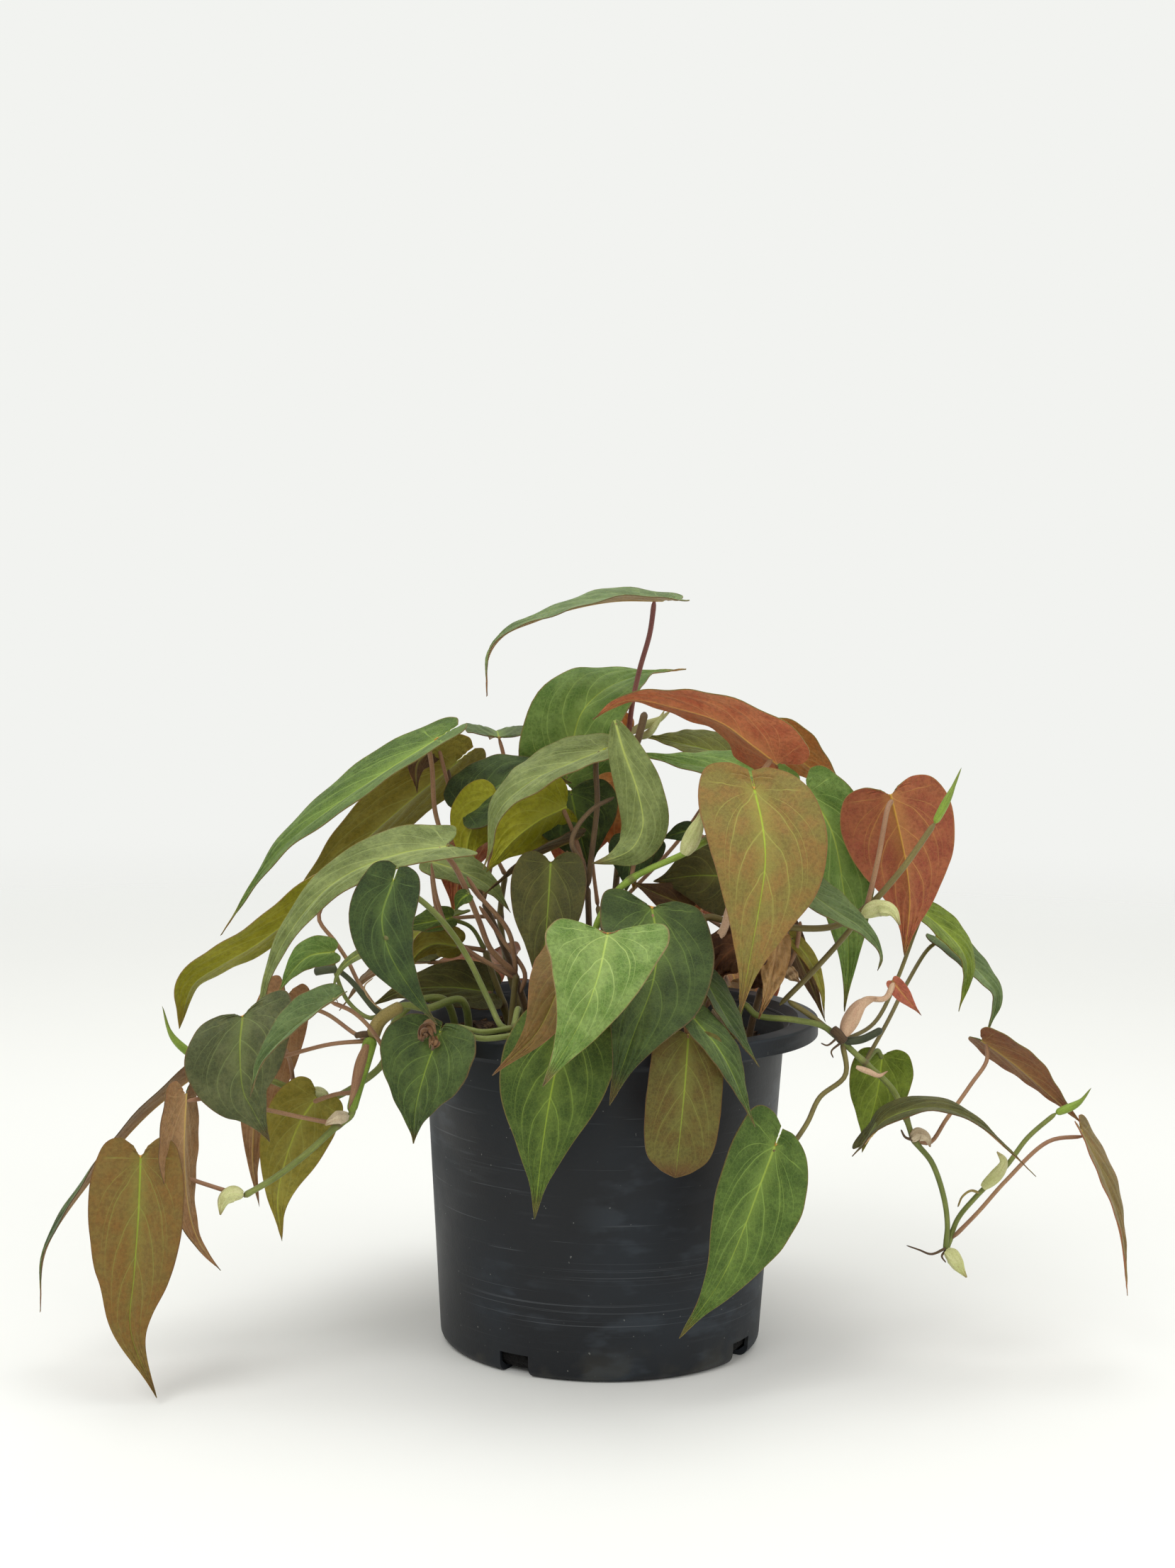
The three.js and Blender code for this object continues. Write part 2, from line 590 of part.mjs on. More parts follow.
        width: 25, face: [-0.2, -0.8, 0.5], stalk: [[83, 184, -30]],
      },
      crumpled_lower: {
        rib: [[76, 178, -38], [68, 172, -36], [64, 162, -36]],
        width: 18, face: [0.3, -0.7, -0.5], stalk: [[74, 166, -28]],
      },
    },
  },
  back_left_stem: {
    colour: colours.dark,
    root: [-40, 44],
    way: [[-46, 176, 50], [-50, 200, 52], [-48, 220, 54]],
    leaves: {
      back_left_high: {
        rib: [[-56, 240, 62], [-64, 236, 84], [-70, 220, 102], [-72, 198, 110]],
        width: 50, face: [-0.3, 0.5, 0.8], stalk: [[-53, 230, 58], [-48, 220, 54]],
      },
      back_left_gap: {
        rib: [[-74, 199, 56], [-84, 196, 66], [-92, 188, 80], [-98, 176, 92]],
        width: 34, face: [-0.3, 0.2, 0.9], stalk: [[-62, 200, 54], [-50, 200, 52]],
      },
      back_left_fall: {
        rib: [[-58, 180, 96], [-64, 168, 122], [-68, 146, 138], [-68, 118, 144]],
        width: 50, face: [-0.4, 0.8, 0.45], stalk: [[-54, 184, 76], [-46, 176, 50]],
      },
      back_left_side: {
        rib: [[-84, 178, 34], [-100, 176, 42], [-114, 168, 48], [-126, 154, 50]],
        width: 34, face: [-0.4, 0.1, 0.9], stalk: [[-66, 178, 42], [-46, 176, 50]],
      },
    },
  },
  back_stem: {
    colour: colours.olive,
    root: [4, 54],
    way: [[2, 180, 64], [-4, 206, 70]],
    leaves: {
      back_high: {
        rib: [[-8, 244, 74], [-12, 244, 96], [-15, 230, 116], [-16, 206, 124]],
        width: 52, face: [-0.1, 0.55, 0.8], stalk: [[-7, 228, 72], [-4, 206, 70]],
      },
      back_fall: {
        rib: [[6, 176, 108], [8, 166, 130], [10, 144, 142], [10, 112, 146]],
        width: 54, face: [0.05, 0.85, 0.45], stalk: [[4, 182, 86], [2, 180, 64]],
      },
      back_low: {
        rib: [[-28, 164, 114], [-32, 150, 128], [-34, 126, 134], [-32, 96, 132]],
        width: 48, face: [-0.2, 0.95, 0.3], stalk: [[-16, 180, 98], [2, 180, 64]],
      },
    },
  },
  back_right_stem: {
    colour: colours.bronze,
    root: [44, 42],
    way: [[52, 176, 50], [60, 200, 54], [66, 222, 56]],
    leaves: {
      back_right_high: {
        rib: [[72, 246, 60], [76, 246, 82], [80, 232, 100], [82, 208, 108]],
        width: 50, face: [0.2, 0.55, 0.8], stalk: [[70, 234, 58], [66, 222, 56]],
      },
      back_right_fall: {
        rib: [[58, 180, 96], [62, 170, 120], [64, 150, 134], [64, 122, 138]],
        width: 50, face: [0.3, 0.85, 0.45], stalk: [[56, 184, 74], [52, 176, 50]],
      },
      back_right_low: {
        rib: [[59, 170, 84], [61, 160, 94], [60, 143, 102], [56, 120, 104]],
        width: 32, face: [0.55, 0.75, 0.35], stalk: [[56, 175, 68], [52, 176, 50]],
      },
      back_right_mid: {
        rib: [[60, 214, 70], [50, 212, 90], [42, 200, 108], [38, 182, 114]],
        width: 42, face: [-0.2, 0.5, 0.85], stalk: [[60, 200, 54]],
      },
    },
  },
};

// Where a point that covers (across, up) for the viewer stands at its own depth
function seen([across, up, depth]) {
  const share = (depth - eye.y) / -eye.y;
  return new THREE.Vector3(eye.x + (across - eye.x) * share, depth, eye.z + (up - eye.z) * share);
}

function smoothLine(points) {
  return new THREE.CatmullRomCurve3(points, false, 'centripetal');
}

function toSolid(geometry) {
  const bare = geometry.clone();
  bare.deleteAttribute('normal');
  bare.deleteAttribute('uv');
  const merged = mergeVertices(bare, weld);
  return new wasm.Manifold(new wasm.Mesh({
    numProp: 3,
    vertProperties: new Float32Array(merged.attributes.position.array),
    triVerts: new Uint32Array(merged.index.array),
  }));
}

function toGeometry(solid) {
  const mesh = solid.getMesh();
  const geometry = new THREE.BufferGeometry();
  geometry.setAttribute('position', new THREE.BufferAttribute(new Float32Array(mesh.vertProperties), 3));
  geometry.setIndex(new THREE.BufferAttribute(new Uint32Array(mesh.triVerts), 1));
  geometry.computeVertexNormals();
  return geometry;
}

function named(name, geometry, colour, roughness) {
  const material = new THREE.MeshStandardMaterial({ color: colour, roughness, metalness: 0 });
  const mesh = new THREE.Mesh(geometry, material);
  mesh.name = name;
  return mesh;
}

function roundSection(radius, sides) {
  const corners = [];
  for (let side = 0; side < sides; side += 1) {
    const turn = (2 * Math.PI * side) / sides;
    corners.push(new THREE.Vector2(radius * Math.cos(turn), radius * Math.sin(turn)));
  }
  return new THREE.Shape(corners);
}

// A stem or a leaf stalk: a slim prism along a smooth line, with one step for each point of the line
function tube(points, radius, sides) {
  return toSolid(new THREE.ExtrudeGeometry(roundSection(radius, sides), {
    steps: points.length, bevelEnabled: false, extrudePath: smoothLine(points),
  }));
}

function cone(start, end, startRadius, endRadius) {
  const along = new THREE.Vector3().subVectors(end, start);
  const geometry = new THREE.CylinderGeometry(endRadius, startRadius, along.length() + budOverlap, stemSides);
  const upright = new THREE.Vector3(0, 1, 0);
  const turn = new THREE.Quaternion().setFromUnitVectors(upright, along.clone().normalize());
  geometry.applyQuaternion(turn);
  geometry.translate(...new THREE.Vector3().addVectors(start, end).multiplyScalar(0.5).toArray());
  return toSolid(geometry);
}

// A rolled new leaf: slim from its sheath to its point
function bud(points) {
  const [start, middle, end] = points.map(seen);
  const lower = cone(start, middle, budRadii[0], budRadii[1]);
  return lower.add(cone(middle, end, budRadii[1], budRadii[2]));
}

// The middle surface of a blade: an outline laid along the midrib, folded up at it and waved at its edge.
// With skew, one half of the blade sits further along the midrib than the other.
function bladePoint(shape, along, across, side) {
  const { spine, faceAtStalk, faceAtTip, half, fold, skew, phase } = shape;
  const slid = along + skew * across * side * (1 - Math.max(along, 0));
  const place = Math.min(Math.max(slid, 0), 1);
  const point = spine.getPointAt(place);
  const tangent = spine.getTangentAt(place);
  point.addScaledVector(tangent, (slid - place) * spine.getLength());
  const up = faceAtStalk.clone().lerp(faceAtTip, place);
  up.addScaledVector(tangent, -up.dot(tangent)).normalize();
  const out = new THREE.Vector3().crossVectors(up, tangent).multiplyScalar(side);
  const reach = across * half;
  const wave = waveShare * half * across * across * Math.sin(2 * Math.PI * waveCount * along + phase * side);
  point.addScaledVector(out, reach * Math.cos(fold));
  return point.addScaledVector(up, reach * Math.sin(fold) + wave);
}

// A blade is cut into strips from the midrib to the margin, the same on its two halves
function blade(leaf, phase) {
  const faceAtStalk = new THREE.Vector3(...leaf.face).normalize();
  const faceAtTip = new THREE.Vector3(...(leaf.tipFace ?? leaf.face)).normalize();
  const shape = {
    spine: smoothLine(leaf.rib.map(seen)),
    faceAtStalk,
    faceAtTip,
    half: leaf.width / 2,
    fold: leaf.fold ?? usualFold,
    skew: leaf.skew ?? 0,
    phase,
  };
  const margin = outlines[leaf.outline ?? 'heart'];
  const rows = leaf.rows ?? 1;
  const points = [];
  const known = new Map();
  const place = (key, along, across, side) => {
    if (!known.has(key)) {
      known.set(key, points.length);
      points.push(bladePoint(shape, along, across, side));
    }
    return known.get(key);
  };
  const tip = place('tip', 1, 0, 1);
  const triangles = [];
  const edges = [];
  for (const side of [1, -1]) {
    const strips = margin.map((edge, step) => {
      const line = [place(`rib ${edge.from}`, edge.from, 0, side)];
      for (let row = 1; row <= rows; row += 1) {
        const share = row / rows;
        const along = edge.from + (edge.along - edge.from) * share;
        line.push(place(`${side} ${step} ${row}`, along, edge.across * share, side));
      }
      return line;
    });
    strips.push(new Array(rows + 1).fill(tip));
    for (let step = 0; step + 1 < strips.length; step += 1) {
      for (let row = 0; row < rows; row += 1) {
        const [a, b] = [strips[step][row], strips[step][row + 1]];
        const [c, d] = [strips[step + 1][row + 1], strips[step + 1][row]];
        for (const corners of [[a, b, c], [a, c, d]]) {
          if (new Set(corners).size === 3) {
            triangles.push(side === 1 ? corners : [corners[0], corners[2], corners[1]]);
          }
        }
      }
    }
    edges.push([...strips[0], ...strips.slice(1, -1).map((line) => line[rows])]);
  }
  const rim = [...edges[0], tip, ...edges[1].slice(1).reverse()];
  return thicken(points, triangles, rim);
}

// Both faces of a blade with the same triangles, half the thickness to each side of the middle surface
function thicken(points, triangles, rim) {
  const normals = points.map(() => new THREE.Vector3());
  for (const [a, b, c] of triangles) {
    const first = new THREE.Vector3().subVectors(points[b], points[a]);
    const second = new THREE.Vector3().subVectors(points[c], points[a]);
    const normal = first.cross(second);
    [a, b, c].forEach((corner) => normals[corner].add(normal));
  }
  const position = [];
  for (const side of [1, -1]) {
    points.forEach((point, place) => {
      const shift = normals[place].clone().setLength((side * bladeThickness) / 2);
      position.push(...point.clone().add(shift).toArray());
    });
  }
  const under = points.length;
  const index = [];
  triangles.forEach(([a, b, c]) => index.push(a, b, c, under + a, under + c, under + b));
  rim.forEach((here, place) => {
    const next = rim[(place + 1) % rim.length];
    index.push(here, under + here, under + next, here, under + next, next);
  });
  const geometry = new THREE.BufferGeometry();
  geometry.setAttribute('position', new THREE.Float32BufferAttribute(position, 3));
  geometry.setIndex(index);
  return toSolid(geometry);
}

// A stem stands upright from the bottom of its hole to a little above the mix
function rootPoints([x, y]) {
  const start = new THREE.Vector3(x, y, soilTop - rootDepth + rootFloorGap);
  return [start, start.clone().setZ(soilTop - 4), start.clone().setZ(soilTop + 3)];
}

function leafyStem(name, stem) {
  let solid = tube([...rootPoints(stem.root), ...stem.way.map(seen)], stem.radius ?? stemRadius, stemSides);
  (stem.twigs ?? []).forEach((points) => {
    solid = solid.add(tube(points.map(seen), twigRadius, stalkSides));
  });
  (stem.buds ?? []).forEach((points) => {
    solid = solid.add(bud(points));
  });
  Object.values(stem.leaves).forEach((leaf, order) => {
    const joint = smoothLine(leaf.rib.map(seen)).getPointAt(stalkOverlap);
    solid = solid.add(blade(leaf, order));
    solid = solid.add(tube([joint, ...leaf.stalk.map(seen)], leaf.radius ?? stalkRadius, stalkSides));
  });
  return named(name, toGeometry(solid), stem.colour, 0.75);
}

// The pot's section: up the outside, over the collar and down the inside
function potSection() {
  const ledge = potHeight - ledgeDrop;
  const underLip = potHeight - lipThickness;
  const collarFoot = potHeight - collarHeight;
  const collarInside = collarRadius - collarThickness;
  const insideTopRadius = wallTopRadius - wallThickness;
  const outside = [
    [0, 0],
    [wallBaseRadius - baseRound, 0],
    [wallBaseRadius - baseRoundMiddle, baseRoundMiddle],
    [wallBaseRadius, baseRound],
    [wallTopRadius - ledgeStep, ledge - ledgeHeight],
    [wallTopRadius, ledge],
    [wallTopRadius, underLip],
    [collarInside, underLip],
    [collarInside, collarFoot],
    [collarRadius, collarFoot],
    [collarRadius, potHeight - lipRound],
    [collarRadius - lipRound, potHeight],
    [collarRadius - lipWidth, potHeight],
  ];
  const inside = [
    [insideTopRadius, potHeight - lipThickness - wallThickness],
    [insideTopRadius - ledgeStep, ledge - ledgeHeight],
    [wallBaseRadius - wallThickness, baseRound],
    [wallBaseRadius - baseRound, floorThickness],
    [0, floorThickness],
  ];
  return [...outside, ...inside].map(([radius, height]) => new THREE.Vector2(radius, height));
}

function lathe(section, facets) {
  const geometry = new THREE.LatheGeometry(section, facets);
  geometry.rotateX(Math.PI / 2);
  return geometry;
}

function notch(turn) {
  const geometry = new THREE.BoxGeometry(notchReach + notchSpare, notchWidth, notchHeight * 2);
  geometry.translate(wallBaseRadius + (notchSpare - notchReach) / 2, 0, 0);
  geometry.rotateZ(turn);
  return toSolid(geometry);
}

function pot() {
  let solid = toSolid(lathe(potSection(), potFacets));
  for (let place = 0; place < notchCount; place += 1) {
    const fromFront = THREE.MathUtils.degToRad(notchTurn + (360 / notchCount) * place);
    solid = solid.subtract(notch(fromFront - Math.PI / 2));
  }
  return named('pot', toGeometry(solid), colours.pot, 0.6);
}

// How high the mix stands above or below its level, from -1 to 1
function soilBump(radius, turn) {
  return Math.sin(0.19 * radius + 5 * turn) * Math.cos(7 * turn - 0.11 * radius);
}

// Potting mix: it fills the pot with a small gap, and its top is rough
function soilBlock() {
  const wallFoot = wallBaseRadius - wallThickness - soilSideGap;
  const wallHead = wallTopRadius - ledgeStep - wallThickness - soilSideGap;
  const wallRise = potHeight - ledgeDrop - ledgeHeight - baseRound;
  const edge = wallFoot + ((wallHead - wallFoot) * (soilTop - baseRound)) / wallRise;
  const bottom = floorThickness + soilGap;
  const section = [
    new THREE.Vector2(0, bottom),
    new THREE.Vector2(wallBaseRadius - baseRound - soilSideGap, bottom),
    new THREE.Vector2(wallFoot, baseRound + soilSideGap),
    new THREE.Vector2(edge, soilTop - soilShoulder),
  ];
  [...soilRings].reverse().forEach((share) => section.push(new THREE.Vector2(edge * share, soilTop)));
  section.push(new THREE.Vector2(0, soilTop));
  const geometry = lathe(section, soilFacets);
  const spots = geometry.attributes.position;
  for (let spot = 0; spot < spots.count; spot += 1) {
    const radius = Math.hypot(spots.getX(spot), spots.getY(spot));
    const turn = Math.atan2(spots.getY(spot), spots.getX(spot));
    if (spots.getZ(spot) > soilTop - 1 && radius > 1) {
      spots.setZ(spot, soilTop + soilRelief * soilBump(radius, turn));
    }
  }
  return toSolid(geometry);
}

function rootHole([x, y]) {
  const radius = (stemRadius + rootGap) / Math.cos(Math.PI / rootHoleFacets);
  const geometry = new THREE.CylinderGeometry(radius, radius, rootDepth * 2, rootHoleFacets);
  geometry.rotateX(Math.PI / 2);
  geometry.translate(x, y, soilTop);
  return toSolid(geometry);
}

function soil() {
  let solid = soilBlock();
  Object.values(leafyStems).forEach((stem) => {
    solid = solid.subtract(rootHole(stem.root));
  });
  return named('soil', toGeometry(solid), colours.soil, 0.95);
}

const plant = new THREE.Group();
plant.name = 'potted_micans_philodendron';
plant.add(pot());
plant.add(soil());
Object.entries(leafyStems).forEach(([name, stem]) => plant.add(leafyStem(name, stem)));

export default plant;
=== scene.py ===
"""Potted micans philodendron in a black nursery pot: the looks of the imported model.

A plant point is (across, up, depth) in millimetres: where it stands against the upright plane through the
pot's middle as the viewer sees it, and how far behind that plane it lies. Surfaces are worked out in
millimetres and become metres as they are put into a mesh. +Z is up, and the origin is on the floor under the
pot's middle.
"""

import logging
import math
from dataclasses import dataclass, field
from enum import Enum

import bpy
import numpy as np
from mathutils import Matrix, Vector


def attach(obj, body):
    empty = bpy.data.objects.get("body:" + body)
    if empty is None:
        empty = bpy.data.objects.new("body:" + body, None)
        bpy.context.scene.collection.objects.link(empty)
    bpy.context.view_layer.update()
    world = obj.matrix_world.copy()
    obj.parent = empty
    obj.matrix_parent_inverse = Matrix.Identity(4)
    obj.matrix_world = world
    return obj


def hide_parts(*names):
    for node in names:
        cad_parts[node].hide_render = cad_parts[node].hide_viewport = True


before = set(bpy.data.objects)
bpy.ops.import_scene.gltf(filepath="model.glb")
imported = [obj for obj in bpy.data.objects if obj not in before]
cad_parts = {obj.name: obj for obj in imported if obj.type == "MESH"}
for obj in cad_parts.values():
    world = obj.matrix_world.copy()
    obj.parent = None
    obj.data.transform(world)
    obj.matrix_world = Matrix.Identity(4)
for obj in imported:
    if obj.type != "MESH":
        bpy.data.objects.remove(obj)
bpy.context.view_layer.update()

log = logging.getLogger("potted_philodendron")

Point = tuple[float, float, float]
Point2 = tuple[float, float]
Colour = tuple[float, float, float]
Socket = bpy.types.NodeSocket

METRES = 0.001
PLACE_NAME = "leaf_place"
SEED = 29
CURVE_STEPS = 24
SPINE_STEPS = 200
TUBE_END = (0.35, 0.85)
BOX_CORNERS = np.array([[-1, -1, -1], [1, -1, -1], [1, 1, -1], [-1, 1, -1],
                        [-1, -1, 1], [1, -1, 1], [1, 1, 1], [-1, 1, 1]], float)
BOX_TRIANGLES = np.array([[0, 2, 1], [0, 3, 2], [4, 5, 6], [4, 6, 7], [0, 1, 5], [0, 5, 4],
                          [1, 2, 6], [1, 6, 5], [2, 3, 7], [2, 7, 6], [3, 0, 4], [3, 4, 7]])


@dataclass(frozen=True)
class Viewer:
    """The eye that the photograph was taken from, in millimetres and radians."""

    across: float = -9.7
    depth: float = -1119.0
    up: float = 342.7
    pitch: float = 0.0705
    roll: float = 0.0149
    focal_pixels: float = 3358.5
    picture_height: float = 2212.0
    sensor: float = 36.0
    sight: float = 50.0

    def place(self, points: list[Point] | np.ndarray) -> np.ndarray:
        """Puts plant points where they stand at their own depth.

        Formula: a point's step from the eye grows in step with its distance from the eye.

        Args:
            points: Plant points in rows.

        Returns:
            The points in rows as (x, y, z).
        """
        across, up, depth = np.asarray(points, float).T
        share = (depth - self.depth) / -self.depth
        return np.stack([
            self.across + (across - self.across) * share, depth, self.up + (up - self.up) * share], axis=1)

    def camera(self) -> None:
        """Makes the camera that stands at the eye and looks as the photograph does."""
        ahead = Vector((0, math.cos(self.pitch), -math.sin(self.pitch)))
        upright = Vector((0, math.sin(self.pitch), math.cos(self.pitch)))
        level = Vector((1, 0, 0))
        right = level * math.cos(self.roll) + upright * math.sin(self.roll)
        top = upright * math.cos(self.roll) - level * math.sin(self.roll)
        turn = Matrix((right, top, -ahead)).transposed().to_4x4()
        data = bpy.data.cameras.new("viewer")
        data.sensor_width = self.sensor
        data.lens = self.focal_pixels / self.picture_height * self.sensor
        data.clip_end = self.sight
        camera = bpy.data.objects.new("viewer", data)
        camera.matrix_world = Matrix.Translation(Vector((self.across, self.depth, self.up)) * METRES) @ turn
        bpy.context.scene.collection.objects.link(camera)
        bpy.context.scene.camera = camera


VIEWER = Viewer()


def unit(rows: np.ndarray) -> np.ndarray:
    """Gives vectors in rows the length 1."""
    return rows / np.maximum(np.linalg.norm(rows, axis=-1, keepdims=True), 1e-9)


def travelled(line: np.ndarray) -> np.ndarray:
    """Gives the length of a line from its start to each of its points."""
    return np.concatenate([[0], np.cumsum(np.linalg.norm(np.diff(line, axis=0), axis=1))])


def smooth_line(points: np.ndarray, count: int) -> np.ndarray:
    """Samples a smooth line through points, evenly by its length.

    Formula: between two points the line is a cubic, whose ends leave and arrive at the slopes that the roots
    of the distances to the points around give (a centripetal Catmull-Rom line).

    Args:
        points: The points in rows.
        count: How many samples to give.

    Returns:
        The samples in rows.
    """
    ghost = np.vstack([2 * points[0] - points[1], points, 2 * points[-1] - points[-2]])
    gap = np.maximum(np.sqrt(np.linalg.norm(np.diff(ghost, axis=0), axis=1))[:, None], 1e-4)
    before, start, end, after = ghost[:-3], ghost[1:-2], ghost[2:-1], ghost[3:]
    first, middle, last = gap[:-2], gap[1:-1], gap[2:]
    leave = ((start - before) / first - (end - before) / (first + middle) + (end - start) / middle) * middle
    arrive = ((end - start) / middle - (after - start) / (middle + last) + (after - end) / last) * middle
    share = np.linspace(0, 1, CURVE_STEPS, endpoint=False)[None, :, None]
    square = (-3 * start + 3 * end - 2 * leave - arrive)[:, None]
    cube = (2 * start - 2 * end + leave + arrive)[:, None]
    curve = start[:, None] + leave[:, None] * share + square * share**2 + cube * share**3
    curve = np.vstack([curve.reshape(-1, points.shape[1]), points[-1]])
    length = travelled(curve)
    even = np.linspace(0, length[-1], count)
    return np.stack([np.interp(even, length, column) for column in curve.T], axis=1)


@dataclass
class Surface:
    """A closed surface: its points, its triangles, where each point lies on it and each triangle's finish."""

    points: np.ndarray
    triangles: np.ndarray
    place: np.ndarray
    finish: np.ndarray

    @classmethod
    def plain(cls, points: np.ndarray, triangles: np.ndarray, finish: int = 0) -> "Surface":
        """Makes a surface of one finish, which doesn't read where a point lies on it."""
        return cls(points, triangles, np.zeros_like(points), np.full(len(triangles), finish))


def grid_triangles(rows: int, columns: int) -> np.ndarray:
    """Splits a grid's squares into triangles.

    Args:
        rows: How many rows of points the grid has.
        columns: How many points a row has.

    Returns:
        The triangles, whose front is on the side of (row step) x (column step).
    """
    corner = (np.arange(rows - 1)[:, None] * columns + np.arange(columns - 1)).ravel()
    a, b, c, d = corner, corner + 1, corner + columns + 1, corner + columns
    return np.concatenate([np.stack([a, c, b], axis=1), np.stack([a, d, c], axis=1)])


def ring_triangles(rings: int, sides: int) -> np.ndarray:
    """Joins rings of points in a row, and closes the two ends on middle points that follow the rings.

    Args:
        rings: How many rings there are.
        sides: How many points a ring has.

    Returns:
        The triangles, whose front is on the side of (step round a ring) x (step to the next ring).
    """
    here, beside = np.arange(sides), np.roll(np.arange(sides), -1)
    row = np.arange(rings - 1)[:, None] * sides
    a, b = (row + here).ravel(), (row + beside).ravel()
    last, middle = (rings - 1) * sides, rings * sides
    return np.concatenate([
        np.stack([a, b, b + sides], axis=1), np.stack([a, b + sides, a + sides], axis=1),
        np.stack([np.full(sides, middle), beside, here], axis=1),
        np.stack([np.full(sides, middle + 1), last + here, last + beside], axis=1)])


def shell(grid: np.ndarray, place: np.ndarray, above: np.ndarray, below: np.ndarray,
          finishes: tuple[int, int]) -> Surface:
    """Gives a grid surface two faces and closes it along its rim.

    Formula: each point moves along the surface's normal, which is (row step) x (column step), by above to one
    side and by below to the other. The rim's edge faces join the two copies.

    Args:
        grid: The middle surface, as rows by columns by 3.
        place: Where each point lies on the surface, of the same shape.
        above: How far each point of the upper face stands off the middle surface.
        below: The same for the under face.
        finishes: The numbers of the upper and the under finish.

    Returns:
        The closed surface.
    """
    rows, columns, _ = grid.shape
    normal = unit(np.cross(np.gradient(grid, axis=0), np.gradient(grid, axis=1)))
    points = np.concatenate([(grid + normal * above[..., None]).reshape(-1, 3),
                             (grid - normal * below[..., None]).reshape(-1, 3)])
    top = grid_triangles(rows, columns)
    count = rows * columns
    number = np.arange(count).reshape(rows, columns)
    rim = np.concatenate([number[0, :-1], number[:-1, -1], number[-1, :0:-1], number[:0:-1, 0]])
    after = np.roll(rim, -1)
    edge = np.concatenate([np.stack([rim, after, after + count], axis=1),
                           np.stack([rim, after + count, rim + count], axis=1)])
    triangles = np.concatenate([top, top[:, ::-1] + count, edge])
    finish = np.full(len(triangles), finishes[0])
    finish[len(top):2 * len(top)] = finishes[1]
    both = np.concatenate([place.reshape(-1, 3), place.reshape(-1, 3)])
    return Surface(points, triangles, both, finish)


def tube(line: np.ndarray, radius: np.ndarray, sides: int, finish: int, mark: np.ndarray) -> Surface:
    """Carries a circle along a line and closes its two ends, where it narrows.

    Formula: each ring lies across the line's tangent. Its first arm is square to the tangent and lies in the
    plane that fits the line best, and a point at angle a is the middle plus radius times (cos a, sin a) on
    the two arms.

    Args:
        line: The middle line, in rows.
        radius: The radius at each point of the line.
        sides: How many points a ring has.
        finish: The number of the finish.
        mark: A number from 0 to 1 at each point of the line, which the finish reads as how dark a node is.

    Returns:
        The closed surface.
    """
    tangent = unit(np.gradient(line, axis=0))
    flat = np.linalg.svd(line - line.mean(axis=0))[2][-1]
    arm = unit(np.cross(tangent, flat))
    other = np.cross(tangent, arm)
    angle = np.linspace(0, 2 * math.pi, sides, endpoint=False)
    around = arm[:, None] * np.cos(angle)[:, None] + other[:, None] * np.sin(angle)[:, None]
    closing = np.ones(len(line))
    closing[[0, -1]], closing[[1, -2]] = TUBE_END
    rings = line[:, None] + around * (radius * closing)[:, None, None]
    points = np.vstack([rings.reshape(-1, 3), line[0], line[-1]])
    along = travelled(line)
    place = np.zeros((len(points), 3))
    place[:-2, 0] = np.tile(np.sin(angle), len(line))
    place[:-2, 1] = np.repeat(along, sides)
    place[-2:, 1] = along[[0, -1]]
    place[:-2, 2] = np.repeat(mark, sides)
    triangles = ring_triangles(len(line), sides)
    return Surface(points, triangles, place, np.full(len(triangles), finish))


def make_piece(name: str, surfaces: list[Surface], finishes: list[bpy.types.Material],
               sharp: float = 50.0) -> bpy.types.Object:
    """Puts surfaces into one mesh object at the origin.

    Args:
        name: The piece's name.
        surfaces: Its surfaces, in millimetres.
        finishes: Its materials, in the order of their numbers.
        sharp: The angle in degrees from which an edge is shaded sharp.

    Returns:
        The object.
    """
    shift = np.cumsum([0] + [len(surface.points) for surface in surfaces[:-1]])
    points = np.concatenate([surface.points for surface in surfaces]) * METRES
    triangles = np.concatenate([surface.triangles + step for surface, step in zip(surfaces, shift)])
    place = np.concatenate([surface.place for surface in surfaces])
    kinds = np.concatenate([surface.finish for surface in surfaces])
    mesh = bpy.data.meshes.new(name)
    mesh.vertices.add(len(points))
    mesh.vertices.foreach_set("co", points.astype(np.float32).ravel())
    mesh.loops.add(triangles.size)
    mesh.loops.foreach_set("vertex_index", triangles.astype(np.int32).ravel())
    mesh.polygons.add(len(triangles))
    mesh.polygons.foreach_set("loop_start", np.arange(0, triangles.size, 3, dtype=np.int32))
    for finish in finishes:
        mesh.materials.append(finish)
    mesh.polygons.foreach_set("material_index", kinds.astype(np.int32))
    attribute = mesh.attributes.new(PLACE_NAME, "FLOAT_VECTOR", "POINT")
    attribute.data.foreach_set("vector", place.astype(np.float32).ravel())
    mesh.update()
    mesh.shade_smooth()
    mesh.set_sharp_from_angle(angle=math.radians(sharp))
    piece = bpy.data.objects.new(name, mesh)
    bpy.context.scene.collection.objects.link(piece)
    return piece


def paint(colour: Colour) -> tuple[float, float, float, float]:
    """Turns a screen's colour, from 0 to 255, into the light that the shader reads."""
    share = np.asarray(colour, float) / 255
    light = np.where(share <= 0.04045, share / 12.92, ((share + 0.055) / 1.055) ** 2.4)
    return (*(float(x) for x in light), 1.0)


